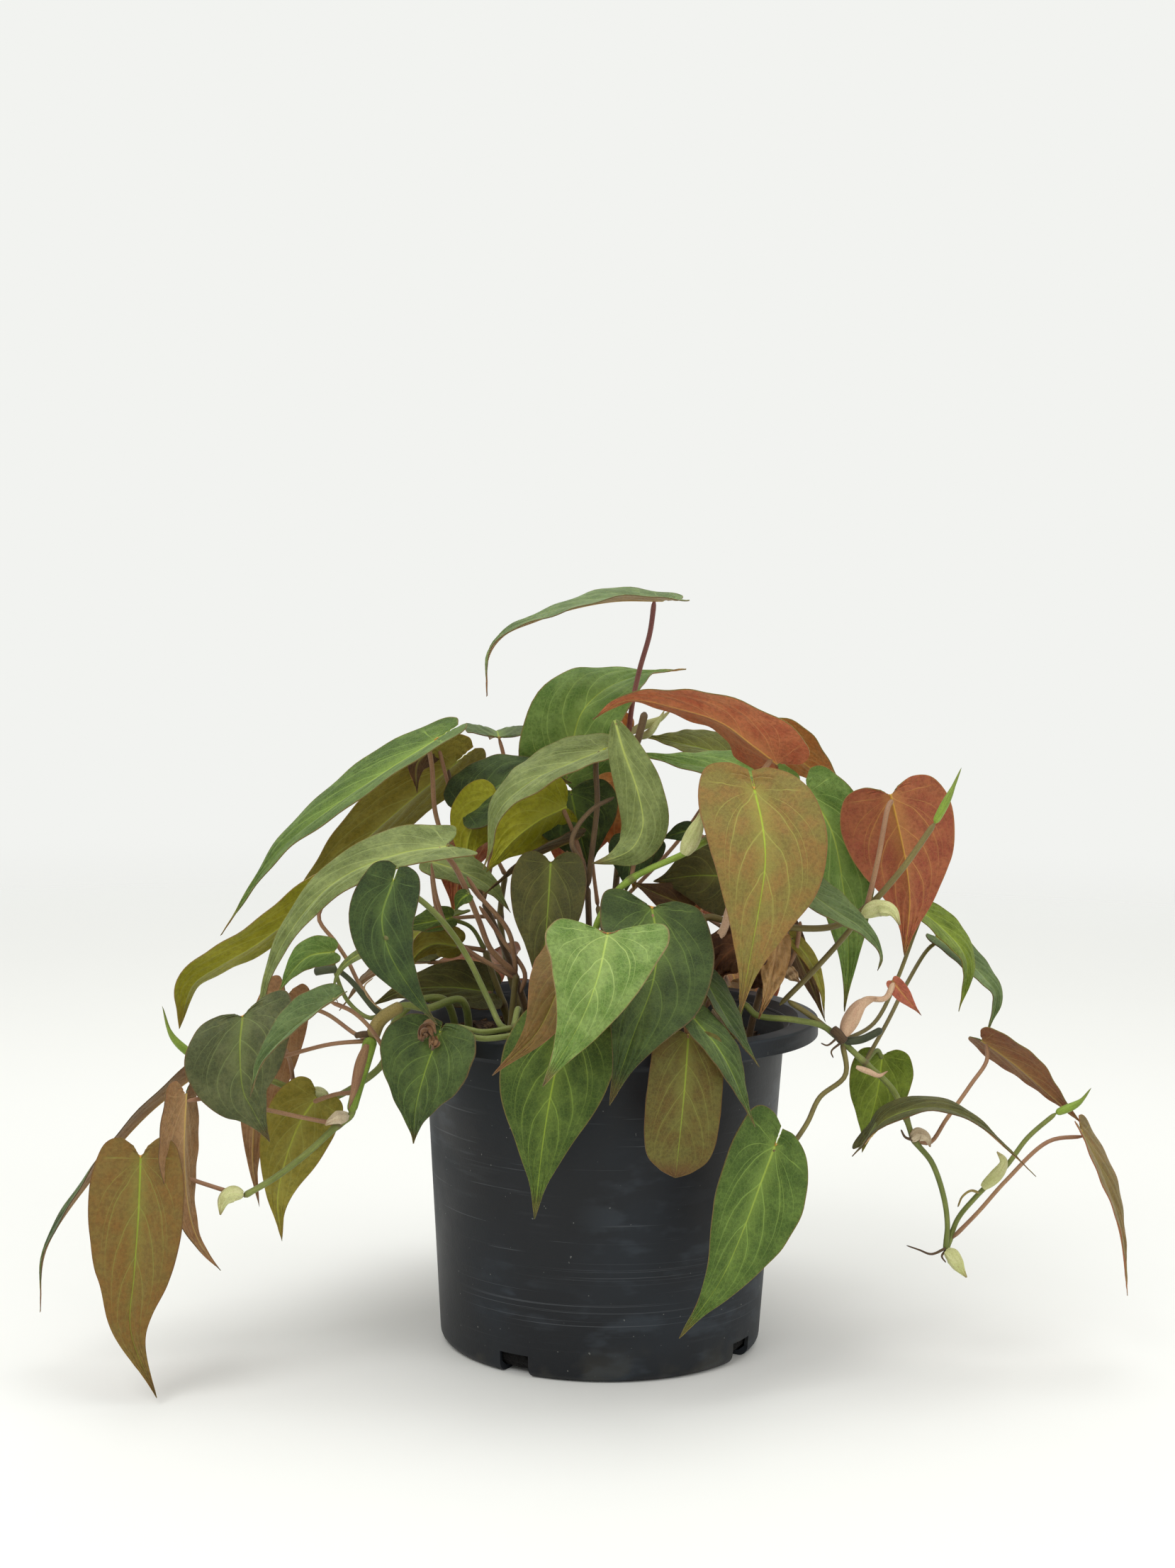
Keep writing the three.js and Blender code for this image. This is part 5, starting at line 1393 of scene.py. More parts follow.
RIGHT_BACK_STEM = LeafyStem(
    "right_back_stem", "dark_foliage", Bark.OLIVE, (44, 6),
    way=[(50, 170, 6), (58, 195, 6), (70, 222, 6), (80, 246, 6)],
    leaves=[
        Leaf("green_long", Look.FRESH, Look.ORANGE, 38, (-0.1, -0.4, 0.95),
            [(84, 264, 16), (62, 270, 14), (40, 273, 10), (20, 277, 8), (8, 280, 6)],
            [(83, 256, 8), (80, 246, 6)]),
        Leaf("orange_right", Look.GREEN, Look.ORANGE, 40, (0.35, 0.6, 0.75),
            [(66, 286, 30), (82, 281, 32), (98, 271, 32), (108, 262, 30), (118, 252, 26)],
            [(72, 270, 22), (80, 246, 6)]),
        Leaf("green_right", Look.FRESH, Look.RED, 38, (0.3, -0.9, 0.3),
            [(94, 261, -6), (105, 245, -10), (112, 215, -13), (115, 185, -13), (113.8, 157, -10)],
            [(88, 254, 0), (80, 246, 6)]),
        Leaf("teal_right", Look.DUSKY, Look.RED, 26, (0.4, -0.55, 0.75),
            [(83.5, 223, -46), (104, 208, -54), (123.5, 195, -57), (130.6, 184, -57), (129, 176.9, -55)],
            [(78, 222, -30), (70, 222, 6)]),
        Leaf("dark_mid", Look.OLIVE, Look.UMBER, 40, (0, -0.9, 0.3),
            [(58, 221, -14), (42, 221, -18), (22, 218, -20)], [(62, 214, -2), (58, 195, 6)],
            stalk_bark=Bark.OLIVE),
        Leaf("brown_low", Look.UMBER, Look.UMBER, 17, (0, -0.9, 0.4),
            [(40, 206, -20), (27, 211, -23), (11, 218, -25)], [(48, 201, -6), (58, 195, 6)]),
    ])

RIGHT_SPIKE_STEM = LeafyStem(
    "right_spike_stem", "red_foliage", Bark.OLIVE, (44, -28),
    way=[(45, 172, -32), (44, 190, -34), (47, 201, -35), (60, 199, -36), (85, 197, -37), (108, 198, -38),
    (123, 207, -40), (139, 225, -41), (154.4, 247.6, -40)],
    buds=[[(154.4, 247.6, -40), (161, 261, -40), (166.3, 274, -39)]],
    sheaths=[
        Sheath([(121, 204, -44), (129, 208, -48), (136, 206, -50), (139, 199, -50)], 8, (0.1, -1, 0.5),
            Bark.SHEATH),
    ],
    twigs=[
        Twig([(83, 160, -40), (100, 178, -40), (116, 197, -40), (123, 207, -40)], Bark.OLIVE, 1.3, 1.3),
        Twig([(85, 175, -36), (90, 186, -37), (92, 200, -37)], Bark.PINK, 1.1, 1.1),
    ],
    leaves=[
        Leaf("red_heart", Look.GREEN, Look.RED, 53, (0.05, 1, 0.15),
            [(133.5, 260, -30), (139, 239, -26), (141.5, 227, -24), (143.5, 211, -24), (141.7, 184, -26)],
            [(132, 254, -38), (128, 230, -45), (124, 211, -43), (123, 207, -40)], radius=1.5),
    ])

RIGHT_VINE = LeafyStem(
    "right_vine", "fresh_foliage", Bark.GREEN, (58, -46), radius=1.55,
    way=[(66, 160, -50), (72, 155, -52), (90, 153, -52), (104, 150, -50), (113, 143, -50), (124, 133, -49),
    (137, 121, -48), (144, 107.4, -46), (148.4, 96.2, -44), (157.1, 85.3, -42), (163.3, 68.3, -41),
    (165.3, 54.6, -40), (164.8, 43, -39), (170, 58, -37), (178, 68.5, -36), (192.6, 84.2, -36),
    (202.4, 98, -36), (215.5, 110, -36)],
    buds=[[(215.5, 110, -36), (226.5, 115.5, -37), (232, 122.5, -38)]],
    sheaths=[
        Sheath([(113, 146, -53), (116, 154, -54), (121, 161, -54), (129, 164, -54)], 8, (-0.5, -1, 0.3),
            Bark.BLUSH, 1.3, 0.03),
        Sheath([(147, 96, -47), (151, 99, -49), (155, 97, -49), (156, 93, -48)], 6, (0.1, -1, 0.3),
            Bark.PAPER),
        Sheath([(165, 43, -42), (169, 40, -44), (172, 35, -45), (175, 30, -45)], 7, (0.2, -1, 0.2),
            Bark.SHEATH),
        Sheath([(182, 73, -38), (189, 79, -40), (192, 86, -41), (188, 91, -42)], 6.5, (0.4, -1, 0.1),
            Bark.SHEATH, 1.2, 0.04),
        Sheath([(120, 131, -53), (126, 129, -54), (131, 127, -55), (135, 129, -55)], 2.6, (0.1, -1, 0.5),
            Bark.BLUSH, 1.2, 0.03),
    ],
    twigs=[
        Twig([(113, 143, -50), (122, 144, -51), (132, 149, -52)], Bark.DARK, 1.9, 1.7),
        Twig([(87, 162, -47), (98, 155, -48), (113, 143, -50)], Bark.OLIVE, 1.3, 1.4),
        Twig([(108, 149, -52), (111, 146.5, -53), (114, 143, -52)], Bark.ROOT, 2.2, 2.5),
        Twig([(110, 144, -54), (106, 141, -57), (103, 142, -58)], Bark.ROOT, 0.6, 0.3),
        Twig([(112, 142, -54), (108, 138, -57), (109, 135, -58)], Bark.ROOT, 0.6, 0.3),
        Twig([(148, 96, -46), (144, 97.5, -49), (142, 101, -50)], Bark.ROOT, 0.8, 0.4),
        Twig([(164.8, 44, -41), (158, 41, -43), (152, 43, -44), (146, 45, -44)], Bark.ROOT, 0.7, 0.3),
        Twig([(165, 43, -40), (163, 40, -42), (165, 37, -43)], Bark.ROOT, 0.7, 0.3),
        Twig([(180, 71, -38), (176, 72, -40), (172, 69, -41), (170, 64, -42)], Bark.NODE, 0.7, 0.4),
    ],
    leaves=[
        Leaf("low_green", Look.LEAF_GREEN, Look.RED, 43, (0.35, -1, 0.25),
            [(82, 92, -78), (76, 75, -86), (68, 52, -94), (57, 26, -101), (38, -2, -106)],
            [(89, 92, -72), (97, 103, -66), (103, 116, -60), (115, 127, -54), (113, 143, -50)], radius=1.5,
            outline=Outline.CLOSED, skew=0.08, stalk_bark=Bark.OLIVE),
        Leaf("heart_right", Look.YELLOW_GREEN, Look.YELLOW, 30, (0.1, -1, 0.25),
            [(132.3, 136.2, -36), (130.5, 120, -34), (127, 104, -32), (123.7, 89.5, -30)],
            [(130, 139, -39), (124, 133, -49)], stalk_bark=Bark.GREEN),
        Leaf("edge_right", Look.OLIVE, Look.PINK, 26, (0.25, -0.12, 1),
            [(125.5, 95.1, -60), (134.7, 105.5, -62), (154.8, 111.6, -62), (175.2, 106.1, -62),
                (192.4, 92.7, -60), (207, 79.2, -58)], [(134, 108, -54), (144, 107.4, -46)],
            stalk_bark=Bark.GREEN),
        Leaf("red_right", Look.GREEN, Look.BRICK, 28, (0.45, 0.55, 0.75),
            [(180.2, 144, -30), (194.6, 134, -30), (210.2, 121, -30), (229.5, 104, -28)],
            [(182, 135, -34), (174.7, 123.2, -38), (163.3, 106, -41), (155.9, 95, -42),
                (148.4, 96.2, -44)]),
        Leaf("far_right", Look.RUSTY, Look.RED, 28, (0.9, -0.35, 0.3),
            [(228, 101, -46), (235.5, 86.5, -48), (242.5, 69.5, -50), (248.5, 50, -50), (252.3, 22, -48)],
            [(212.5, 96.4, -48), (192.8, 77.3, -50), (180, 62, -46), (168, 49, -39)]),
        Leaf("arch_yellow", Look.YELLOW_GREEN, Look.YELLOW, 23, (0.62, -0.55, 0.7),
            [(148.4, 206.2, -8), (159.3, 197.6, -10), (169.5, 186, -11), (171.5, 176.5, -11),
                (168, 158, -11)], [(146, 195, -12), (138, 172, -20), (128, 152, -34), (113, 143, -50)],
            stalk_bark=Bark.OLIVE),
        Leaf("arch_green", Look.DUSKY, Look.YELLOW, 24, (0.62, -0.5, 0.65),
            [(157, 193, 8), (169, 184, 4), (180, 174, 0), (185.5, 166, -2), (181.5, 147, -2)],
            [(153, 188, 4), (143, 171, -14), (134, 152, -36), (124, 133, -49)], stalk_bark=Bark.OLIVE),
        Leaf("pink_bud", Look.BUD_RED, Look.BUD_RED, 8, (-0.3, -1, 0.1),
            [(136.5, 172, -52), (141, 166.5, -52), (150.5, 155.8, -52)],
            [(133, 164, -52), (123, 163, -52), (117, 154, -51), (113, 143, -50)], radius=1.9,
            stalk_bark=Bark.BLUSH),
    ])

DRY_LEAF_STEM = LeafyStem(
    "dry_leaf_stem", "dry_foliage", Bark.BROWN, (66, -26),
    way=[(74, 166, -28), (83, 184, -30), (84, 192, -30)],
    sheaths=[
        Sheath([(86, 178, -40), (89, 175, -42), (92, 171, -43)], 6, (0.2, -1, 0.3), Bark.STRAW, 1.3, 0.2),
    ],
    leaves=[
        Leaf("tan_leaf", Look.TAN, Look.TAN, 14, (0.3, -1, 0),
            [(81.6, 192, -44), (79.9, 178.8, -50), (77, 165, -56), (73, 153, -60)], [(84, 192, -30)],
            stalk_bark=Bark.BROWN, crumple=0.16),
        Leaf("dark_hanging", Look.UMBER, Look.UMBER, 12, (0.3, -0.9, 0.2),
            [(86, 198, -22), (90, 186, -20), (97.2, 171, -18), (105, 152, -16)], [(84, 192, -30)],
            stalk_bark=Bark.BROWN, crumple=0.06),
        Leaf("thin_yellow", Look.OLIVE_GOLD, Look.OLIVE_GOLD, 9, (0.6, -0.7, 0.3),
            [(88, 192, -36), (96.5, 182, -36), (102.5, 168, -34), (104.5, 154, -32)], [(84, 192, -30)],
            stalk_bark=Bark.BROWN),
        Leaf("crumpled_upper", Look.WITHERED, Look.WITHERED, 25, (-0.2, -0.8, 0.5),
            [(71, 188, -50), (60, 186, -54), (52, 175, -56), (58, 163, -54)], [(83, 184, -30)],
            stalk_bark=Bark.BROWN, crumple=0.3),
        Leaf("crumpled_lower", Look.WITHERED, Look.TAN, 18, (0.3, -0.7, -0.5),
            [(76, 178, -38), (68, 172, -36), (64, 162, -36)], [(74, 166, -28)], stalk_bark=Bark.BROWN,
            crumple=0.3),
    ])

BACK_LEFT_STEM = LeafyStem(
    "back_left_stem", "dark_foliage", Bark.OLIVE, (-40, 44),
    way=[(-46, 176, 50), (-50, 200, 52), (-48, 220, 54)],
    leaves=[
        Leaf("back_left_high", Look.GREEN, Look.RED, 50, (-0.3, 0.5, 0.8),
            [(-56, 240, 62), (-64, 236, 84), (-70, 220, 102), (-72, 198, 110)],
            [(-53, 230, 58), (-48, 220, 54)]),
        Leaf("back_left_gap", Look.YELLOW_GREEN, Look.YELLOW, 34, (-0.3, 0.2, 0.9),
            [(-74, 199, 56), (-84, 196, 66), (-92, 188, 80), (-98, 176, 92)],
            [(-62, 200, 54), (-50, 200, 52)]),
        Leaf("back_left_fall", Look.DEEP_GREEN, Look.RED, 50, (-0.4, 0.8, 0.45),
            [(-58, 180, 96), (-64, 168, 122), (-68, 146, 138), (-68, 118, 144)],
            [(-54, 184, 76), (-46, 176, 50)]),
        Leaf("back_left_side", Look.OLIVE, Look.PINK, 34, (-0.4, 0.1, 0.9),
            [(-84, 178, 34), (-100, 176, 42), (-114, 168, 48), (-126, 154, 50)],
            [(-66, 178, 42), (-46, 176, 50)]),
    ])

BACK_STEM = LeafyStem(
    "back_stem", "olive_foliage", Bark.OLIVE, (4, 54),
    way=[(2, 180, 64), (-4, 206, 70)],
    leaves=[
        Leaf("back_high", Look.BRONZE, Look.RED, 52, (-0.1, 0.55, 0.8),
            [(-8, 244, 74), (-12, 244, 96), (-15, 230, 116), (-16, 206, 124)],
            [(-7, 228, 72), (-4, 206, 70)]),
        Leaf("back_fall", Look.GREEN, Look.YELLOW, 54, (0.05, 0.85, 0.45),
            [(6, 176, 108), (8, 166, 130), (10, 144, 142), (10, 112, 146)], [(4, 182, 86), (2, 180, 64)]),
        Leaf("back_low", Look.DEEP_GREEN, Look.RED, 48, (-0.2, 0.95, 0.3),
            [(-28, 164, 114), (-32, 150, 128), (-34, 126, 134), (-32, 96, 132)],
            [(-16, 180, 98), (2, 180, 64)]),
    ])

BACK_RIGHT_STEM = LeafyStem(
    "back_right_stem", "bronze_foliage", Bark.OLIVE, (44, 42),
    way=[(52, 176, 50), (60, 200, 54), (66, 222, 56)],
    leaves=[
        Leaf("back_right_high", Look.FRESH, Look.ORANGE, 50, (0.2, 0.55, 0.8),
            [(72, 246, 60), (76, 246, 82), (80, 232, 100), (82, 208, 108)], [(70, 234, 58), (66, 222, 56)]),
        Leaf("back_right_fall", Look.BRONZE, Look.RED, 50, (0.3, 0.85, 0.45),
            [(58, 180, 96), (62, 170, 120), (64, 150, 134), (64, 122, 138)],
            [(56, 184, 74), (52, 176, 50)]),
        Leaf("back_right_low", Look.DEEP_GREEN, Look.PINK, 32, (0.55, 0.75, 0.35),
            [(59, 170, 84), (61, 160, 94), (60, 143, 102), (56, 120, 104)], [(56, 175, 68), (52, 176, 50)]),
        Leaf("back_right_mid", Look.GREEN, Look.RED, 42, (-0.2, 0.5, 0.85),
            [(60, 214, 70), (50, 212, 90), (42, 200, 108), (38, 182, 114)], [(60, 200, 54)]),
    ])

STEMS: tuple[LeafyStem, ...] = (
    FRONT_STEM, FRONT_RIGHT_STEM, OLIVE_STEM, LEFT_MID_STEM, LEFT_HIGH_STEM, LEFT_VINE, LEFT_BACK_VINE,
    LEFT_FRONT_STEM, LEFT_RIM_STEM, CENTRE_LEFT_STEM, CENTRE_STEM, BACK_CENTRE_STEM, RIGHT_BACK_STEM,
    RIGHT_SPIKE_STEM, RIGHT_VINE, DRY_LEAF_STEM, BACK_LEFT_STEM, BACK_STEM, BACK_RIGHT_STEM)


@dataclass(frozen=True)
class PlasticFinish:
    """Black nursery plastic with dusty clouds, scuffs, rings of scratches, pale specks and a dirty foot."""

    base: Colour = (10, 14, 20)
    dust: Colour = (54, 62, 70)
    scratch: Colour = (98, 102, 106)
    dirt: Colour = (70, 66, 54)
    speck: Colour = (150, 150, 144)
    roughness: float = 0.5
    cloud_scale: float = 14.0
    speck_scale: float = 520.0
    smear_scale: Point = (22, 22, 320)
    blotch_scale: Point = (45, 45, 110)
    ring_scale: Point = (5, 5, 1100)
    nick_scale: Point = (16, 16, 900)
    ring_band: tuple[Point2, Point2] = ((0.012, 0.024), (0.075, 0.05))
    nick_band: tuple[Point2, Point2] = ((0.04, 0.06), (0.14, 0.12))
    # Heights of the rim's top, which is paled partly by dust and partly by a painted highlight.
    lip_dust_and_highlight_band: Point2 = (0.1545, 0.1562)
    foot_band: Point2 = (0.022, 0.002)

    def material(self, name: str) -> bpy.types.Material:
        """Builds the finish: layers of noise, some of it drawn out round the pot, between given heights.

        Args:
            name: The material's name.

        Returns:
            The material.
        """
        work = NodeWork(name)
        up = work.split(work.object_place)[2]
        still = (0.0, 0.0, 0.0)
        cloud = work.ramp(work.noise(self.cloud_scale, 4), 0.42, 0.68)
        smear = work.ramp(work.noise(1, 4, work.shift(still, self.smear_scale)), 0.56, 0.74)
        scuff = work.times(smear, work.ramp(work.noise(9, 2, work.shift((0.3, 0, 0.1))), 0.45, 0.62))
        blotch = work.ramp(work.noise(1, 3, work.shift((0, 0, 0.1), self.blotch_scale)), 0.5, 0.66)
        blotch = work.times(blotch, work.ramp(work.noise(10, 1), 0.42, 0.55))
        ring = work.ramp(work.noise(1, 2, work.shift(still, self.ring_scale)), 0.63, 0.72)
        ring = work.times(work.times(ring, self.band(work, up, self.ring_band)),
                          work.ramp(work.noise(7, 1), 0.4, 0.55))
        nick = work.ramp(work.noise(1, 3, work.shift((0.2, 0.1, 0), self.nick_scale)), 0.64, 0.72)
        nick = work.times(nick, self.band(work, up, self.nick_band))
        speck = work.ramp(work.noise(self.speck_scale, 1), 0.77, 0.8)
        # Painted highlight and dust: the top of the rim is paled with the dust colour, partly for real dust
        # and partly for the light that falls on it.
        lip = work.times(work.ramp(up, *self.lip_dust_and_highlight_band), work.ramp(work.noise(60, 3), 0.3, 0.6))
        foot = work.times(work.ramp(up, *self.foot_band), work.ramp(work.noise(45, 3), 0.5, 0.66))
        colour: Socket | Colour = self.base
        for layer, share, shade in (
                (cloud, 0.28, self.dust), (blotch, 0.4, self.dust), (scuff, 0.35, self.scratch),
                (ring, 0.3, self.scratch), (nick, 0.3, self.scratch), (speck, 0.35, self.speck),
                (lip, 0.5, self.dust), (foot, 0.3, self.dirt)):
            colour = work.blend(work.times(layer, share), colour, shade)
        rough = work.step("ADD", work.times(cloud, 0.2), work.times(scuff, 0.15))
        work.dress({"Base Color": colour, "Roughness": work.step("ADD", rough, self.roughness),
                    "Specular IOR Level": 0.35})
        height = work.step("ADD", work.times(work.noise(900, 2), 0.6), work.times(work.noise(160, 2), 0.8))
        work.relief(work.step("ADD", height, work.times(ring, 0.6)), 0.25, 0.0004)
        return work.material

    @staticmethod
    def band(work: NodeWork, up: Socket, ends: tuple[Point2, Point2]) -> Socket:
        """Gives 1 in a band of heights, which comes in over its first two ends and goes out over its last."""
        return work.times(work.ramp(up, *ends[0]), work.ramp(up, *ends[1]))


@dataclass(frozen=True)
class NurseryPot:
    """The pot: a turned wall with a collar and a ledge, and drain notches through its foot."""

    node: str = "pot"
    height: float = 156.0
    collar_radius: float = 101.0
    collar_height: float = 8.0
    wall: float = 1.8
    lip_width: float = 10.0
    lip: float = 3.0
    wall_top: float = 86.5
    wall_foot: float = 76.0
    floor: float = 2.2
    foot_round: float = 5.0
    ledge_drop: float = 11.0
    ledge_step: float = 1.6
    notch_turn: float = -31.0
    notch_width: float = 15.0
    notch_height: float = 10.0
    notch_span: Point2 = (62.0, 82.0)
    notches: int = 4
    facets: int = 192
    rim_round: float = 1.2
    edge_cut: float = 0.3
    corner_cut: float = 0.6
    floor_lift: float = 0.6
    sharp_angle: float = 40.0
    finish: PlasticFinish = PlasticFinish()

    def section(self) -> np.ndarray:
        """Gives the wall's section, up the outside and down the inside.

        Returns:
            Rows of (radius, height), which start and end on the middle line.
        """
        top, ledge, under_lip = self.height, self.height - self.ledge_drop, self.height - self.lip
        edge, cut, rim_round = self.edge_cut, self.corner_cut, self.rim_round
        collar, collar_foot = self.collar_radius, self.height - self.collar_height
        collar_inside, lip_inside = collar - self.wall, collar - self.lip_width
        foot_flat, step_top = self.wall_foot - self.foot_round, self.wall_top - self.ledge_step
        turn = np.linspace(0, math.pi / 2, 7)[1:-1]
        low, rise = 1 - np.cos(turn), np.sin(turn)
        foot = np.stack([foot_flat + self.foot_round * rise, self.foot_round * low], axis=1)
        rim = np.stack([collar - rim_round * low, top - rim_round * (1 - rise)], axis=1)
        outside = [
            (0.0, self.floor_lift), (foot_flat - 6, self.floor_lift), (foot_flat - 4, 0.0), (foot_flat, 0.0),
            *foot, (self.wall_foot, self.foot_round), (step_top - 0.05, ledge - 2.3), (step_top, ledge - 2.0),
            (self.wall_top - 0.25, ledge - 0.25), (self.wall_top, ledge), (self.wall_top, ledge + 3),
            (self.wall_top, under_lip - cut), (self.wall_top + cut, under_lip),
            (collar_inside - 0.4, under_lip), (collar_inside, under_lip - 0.4),
            (collar_inside, collar_foot + edge), (collar_inside + edge, collar_foot),
            (collar - edge, collar_foot), (collar, collar_foot + edge),
            (collar, top - 3.5), (collar, top - rim_round), *rim, (collar - rim_round, top),
            (lip_inside + 0.5, top), (lip_inside, top - 0.5)]
        inner_top = self.wall_top - self.wall
        inside = [
            (inner_top + cut, under_lip - self.wall), (inner_top, under_lip - self.wall - 0.8),
            (inner_top, ledge), (inner_top - self.ledge_step, ledge - 2.0),
            (self.wall_foot - self.wall, self.foot_round), (foot_flat, self.floor), (0.0, self.floor)]
        return np.array(outside + inside)

    def turned(self) -> Surface:
        """Turns the section once round the middle.

        Formula: a point of the section at radius r and height z stands at (r cos a, r sin a, z) at angle a.
        The section starts and ends on the middle line, where each ring is a single point.

        Returns:
            The wall and the floor.
        """
        section = self.section()
        angle = np.linspace(0, 2 * math.pi, self.facets, endpoint=False)
        rings = section[1:-1]
        radius, height = rings[:, :1], rings[:, 1:]
        points = np.stack([radius * np.cos(angle), radius * np.sin(angle), height + 0 * angle], axis=-1)
        points = np.vstack([points.reshape(-1, 3), [0, 0, section[0, 1]], [0, 0, section[-1, 1]]])
        return Surface.plain(points, ring_triangles(len(rings), self.facets))

    def notch(self, turn: float) -> Surface:
        """Gives the block that cuts one drain notch.

        Args:
            turn: How far the block is turned about the middle, in radians.

        Returns:
            The block.
        """
        near, far = self.notch_span
        size = np.array([(far - near) / 2, self.notch_width / 2, self.notch_height])
        cos, sin = math.cos(turn), math.sin(turn)
        spin = np.array([[cos, sin, 0], [-sin, cos, 0], [0, 0, 1]])
        return Surface.plain((BOX_CORNERS * size + [(near + far) / 2, 0, 0]) @ spin, BOX_TRIANGLES)

    def build(self) -> bpy.types.Object:
        """Turns the pot, cuts its notches and dresses it.

        Returns:
            The pot.
        """
        black = self.finish.material("nursery_plastic")
        pot = make_piece("nursery_pot", [self.turned()], [black])
        turns = math.radians(self.notch_turn - 90) + 2 * math.pi / self.notches * np.arange(self.notches)
        cutter = make_piece("notch_cutter", [self.notch(turn) for turn in turns], [black])
        cut = pot.modifiers.new("notches", "BOOLEAN")
        cut.operation = "DIFFERENCE"
        cut.solver = "EXACT"
        cut.object = cutter
        graph = bpy.context.evaluated_depsgraph_get()
        plain, notched = pot.data, bpy.data.meshes.new_from_object(pot.evaluated_get(graph))
        pot.modifiers.remove(cut)
        pot.data = notched
        notched.name = "nursery_pot"
        notched.set_sharp_from_angle(angle=math.radians(self.sharp_angle))
        blocks = cutter.data
        bpy.data.objects.remove(cutter)
        for spent in (blocks, plain):
            bpy.data.meshes.remove(spent)
        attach(pot, "root")
        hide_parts(self.node)
        return pot


@dataclass(frozen=True)
class MixFinish:
    """Potting mix or bark: brown clods and chips of several shades."""

    base: Colour
    second: Colour
    light: Colour
    grain: float = 260.0
    # The colour and the heights of the painted shade at the foot.
    painted_shade: Colour = (10, 9, 8)
    painted_shade_band: Point2 = (0.03, 0.014)

    def material(self, name: str) -> bpy.types.Material:
        """Builds the finish, damp and nearly black at the foot.

        Args:
            name: The material's name.

        Returns:
            The material.
        """
        work = NodeWork(name)
        clod = work.ramp(work.noise(self.grain, 4), 0.38, 0.62)
        chip = work.cells(self.grain, "F1")
        shade = work.add("ShaderNodeSeparateColor")
        work.feed(shade.inputs[0], chip["Color"])
        colour = work.blend(clod, self.base, self.second)
        colour = work.blend(work.times(work.ramp(shade.outputs[0], 0.72, 0.95), 0.7), colour, self.light)
        # Painted shade: the mix turns nearly black towards its foot, for the shade inside the pot's foot and
        # its drain notches.
        colour = work.blend(work.ramp(work.split(work.object_place)[2], *self.painted_shade_band), colour, self.painted_shade)
        work.dress({"Base Color": colour, "Roughness": 0.9, "Specular IOR Level": 0.25})
        work.relief(work.step("ADD", clod, chip["Distance"]), 0.8, 0.0015)
        return work.material


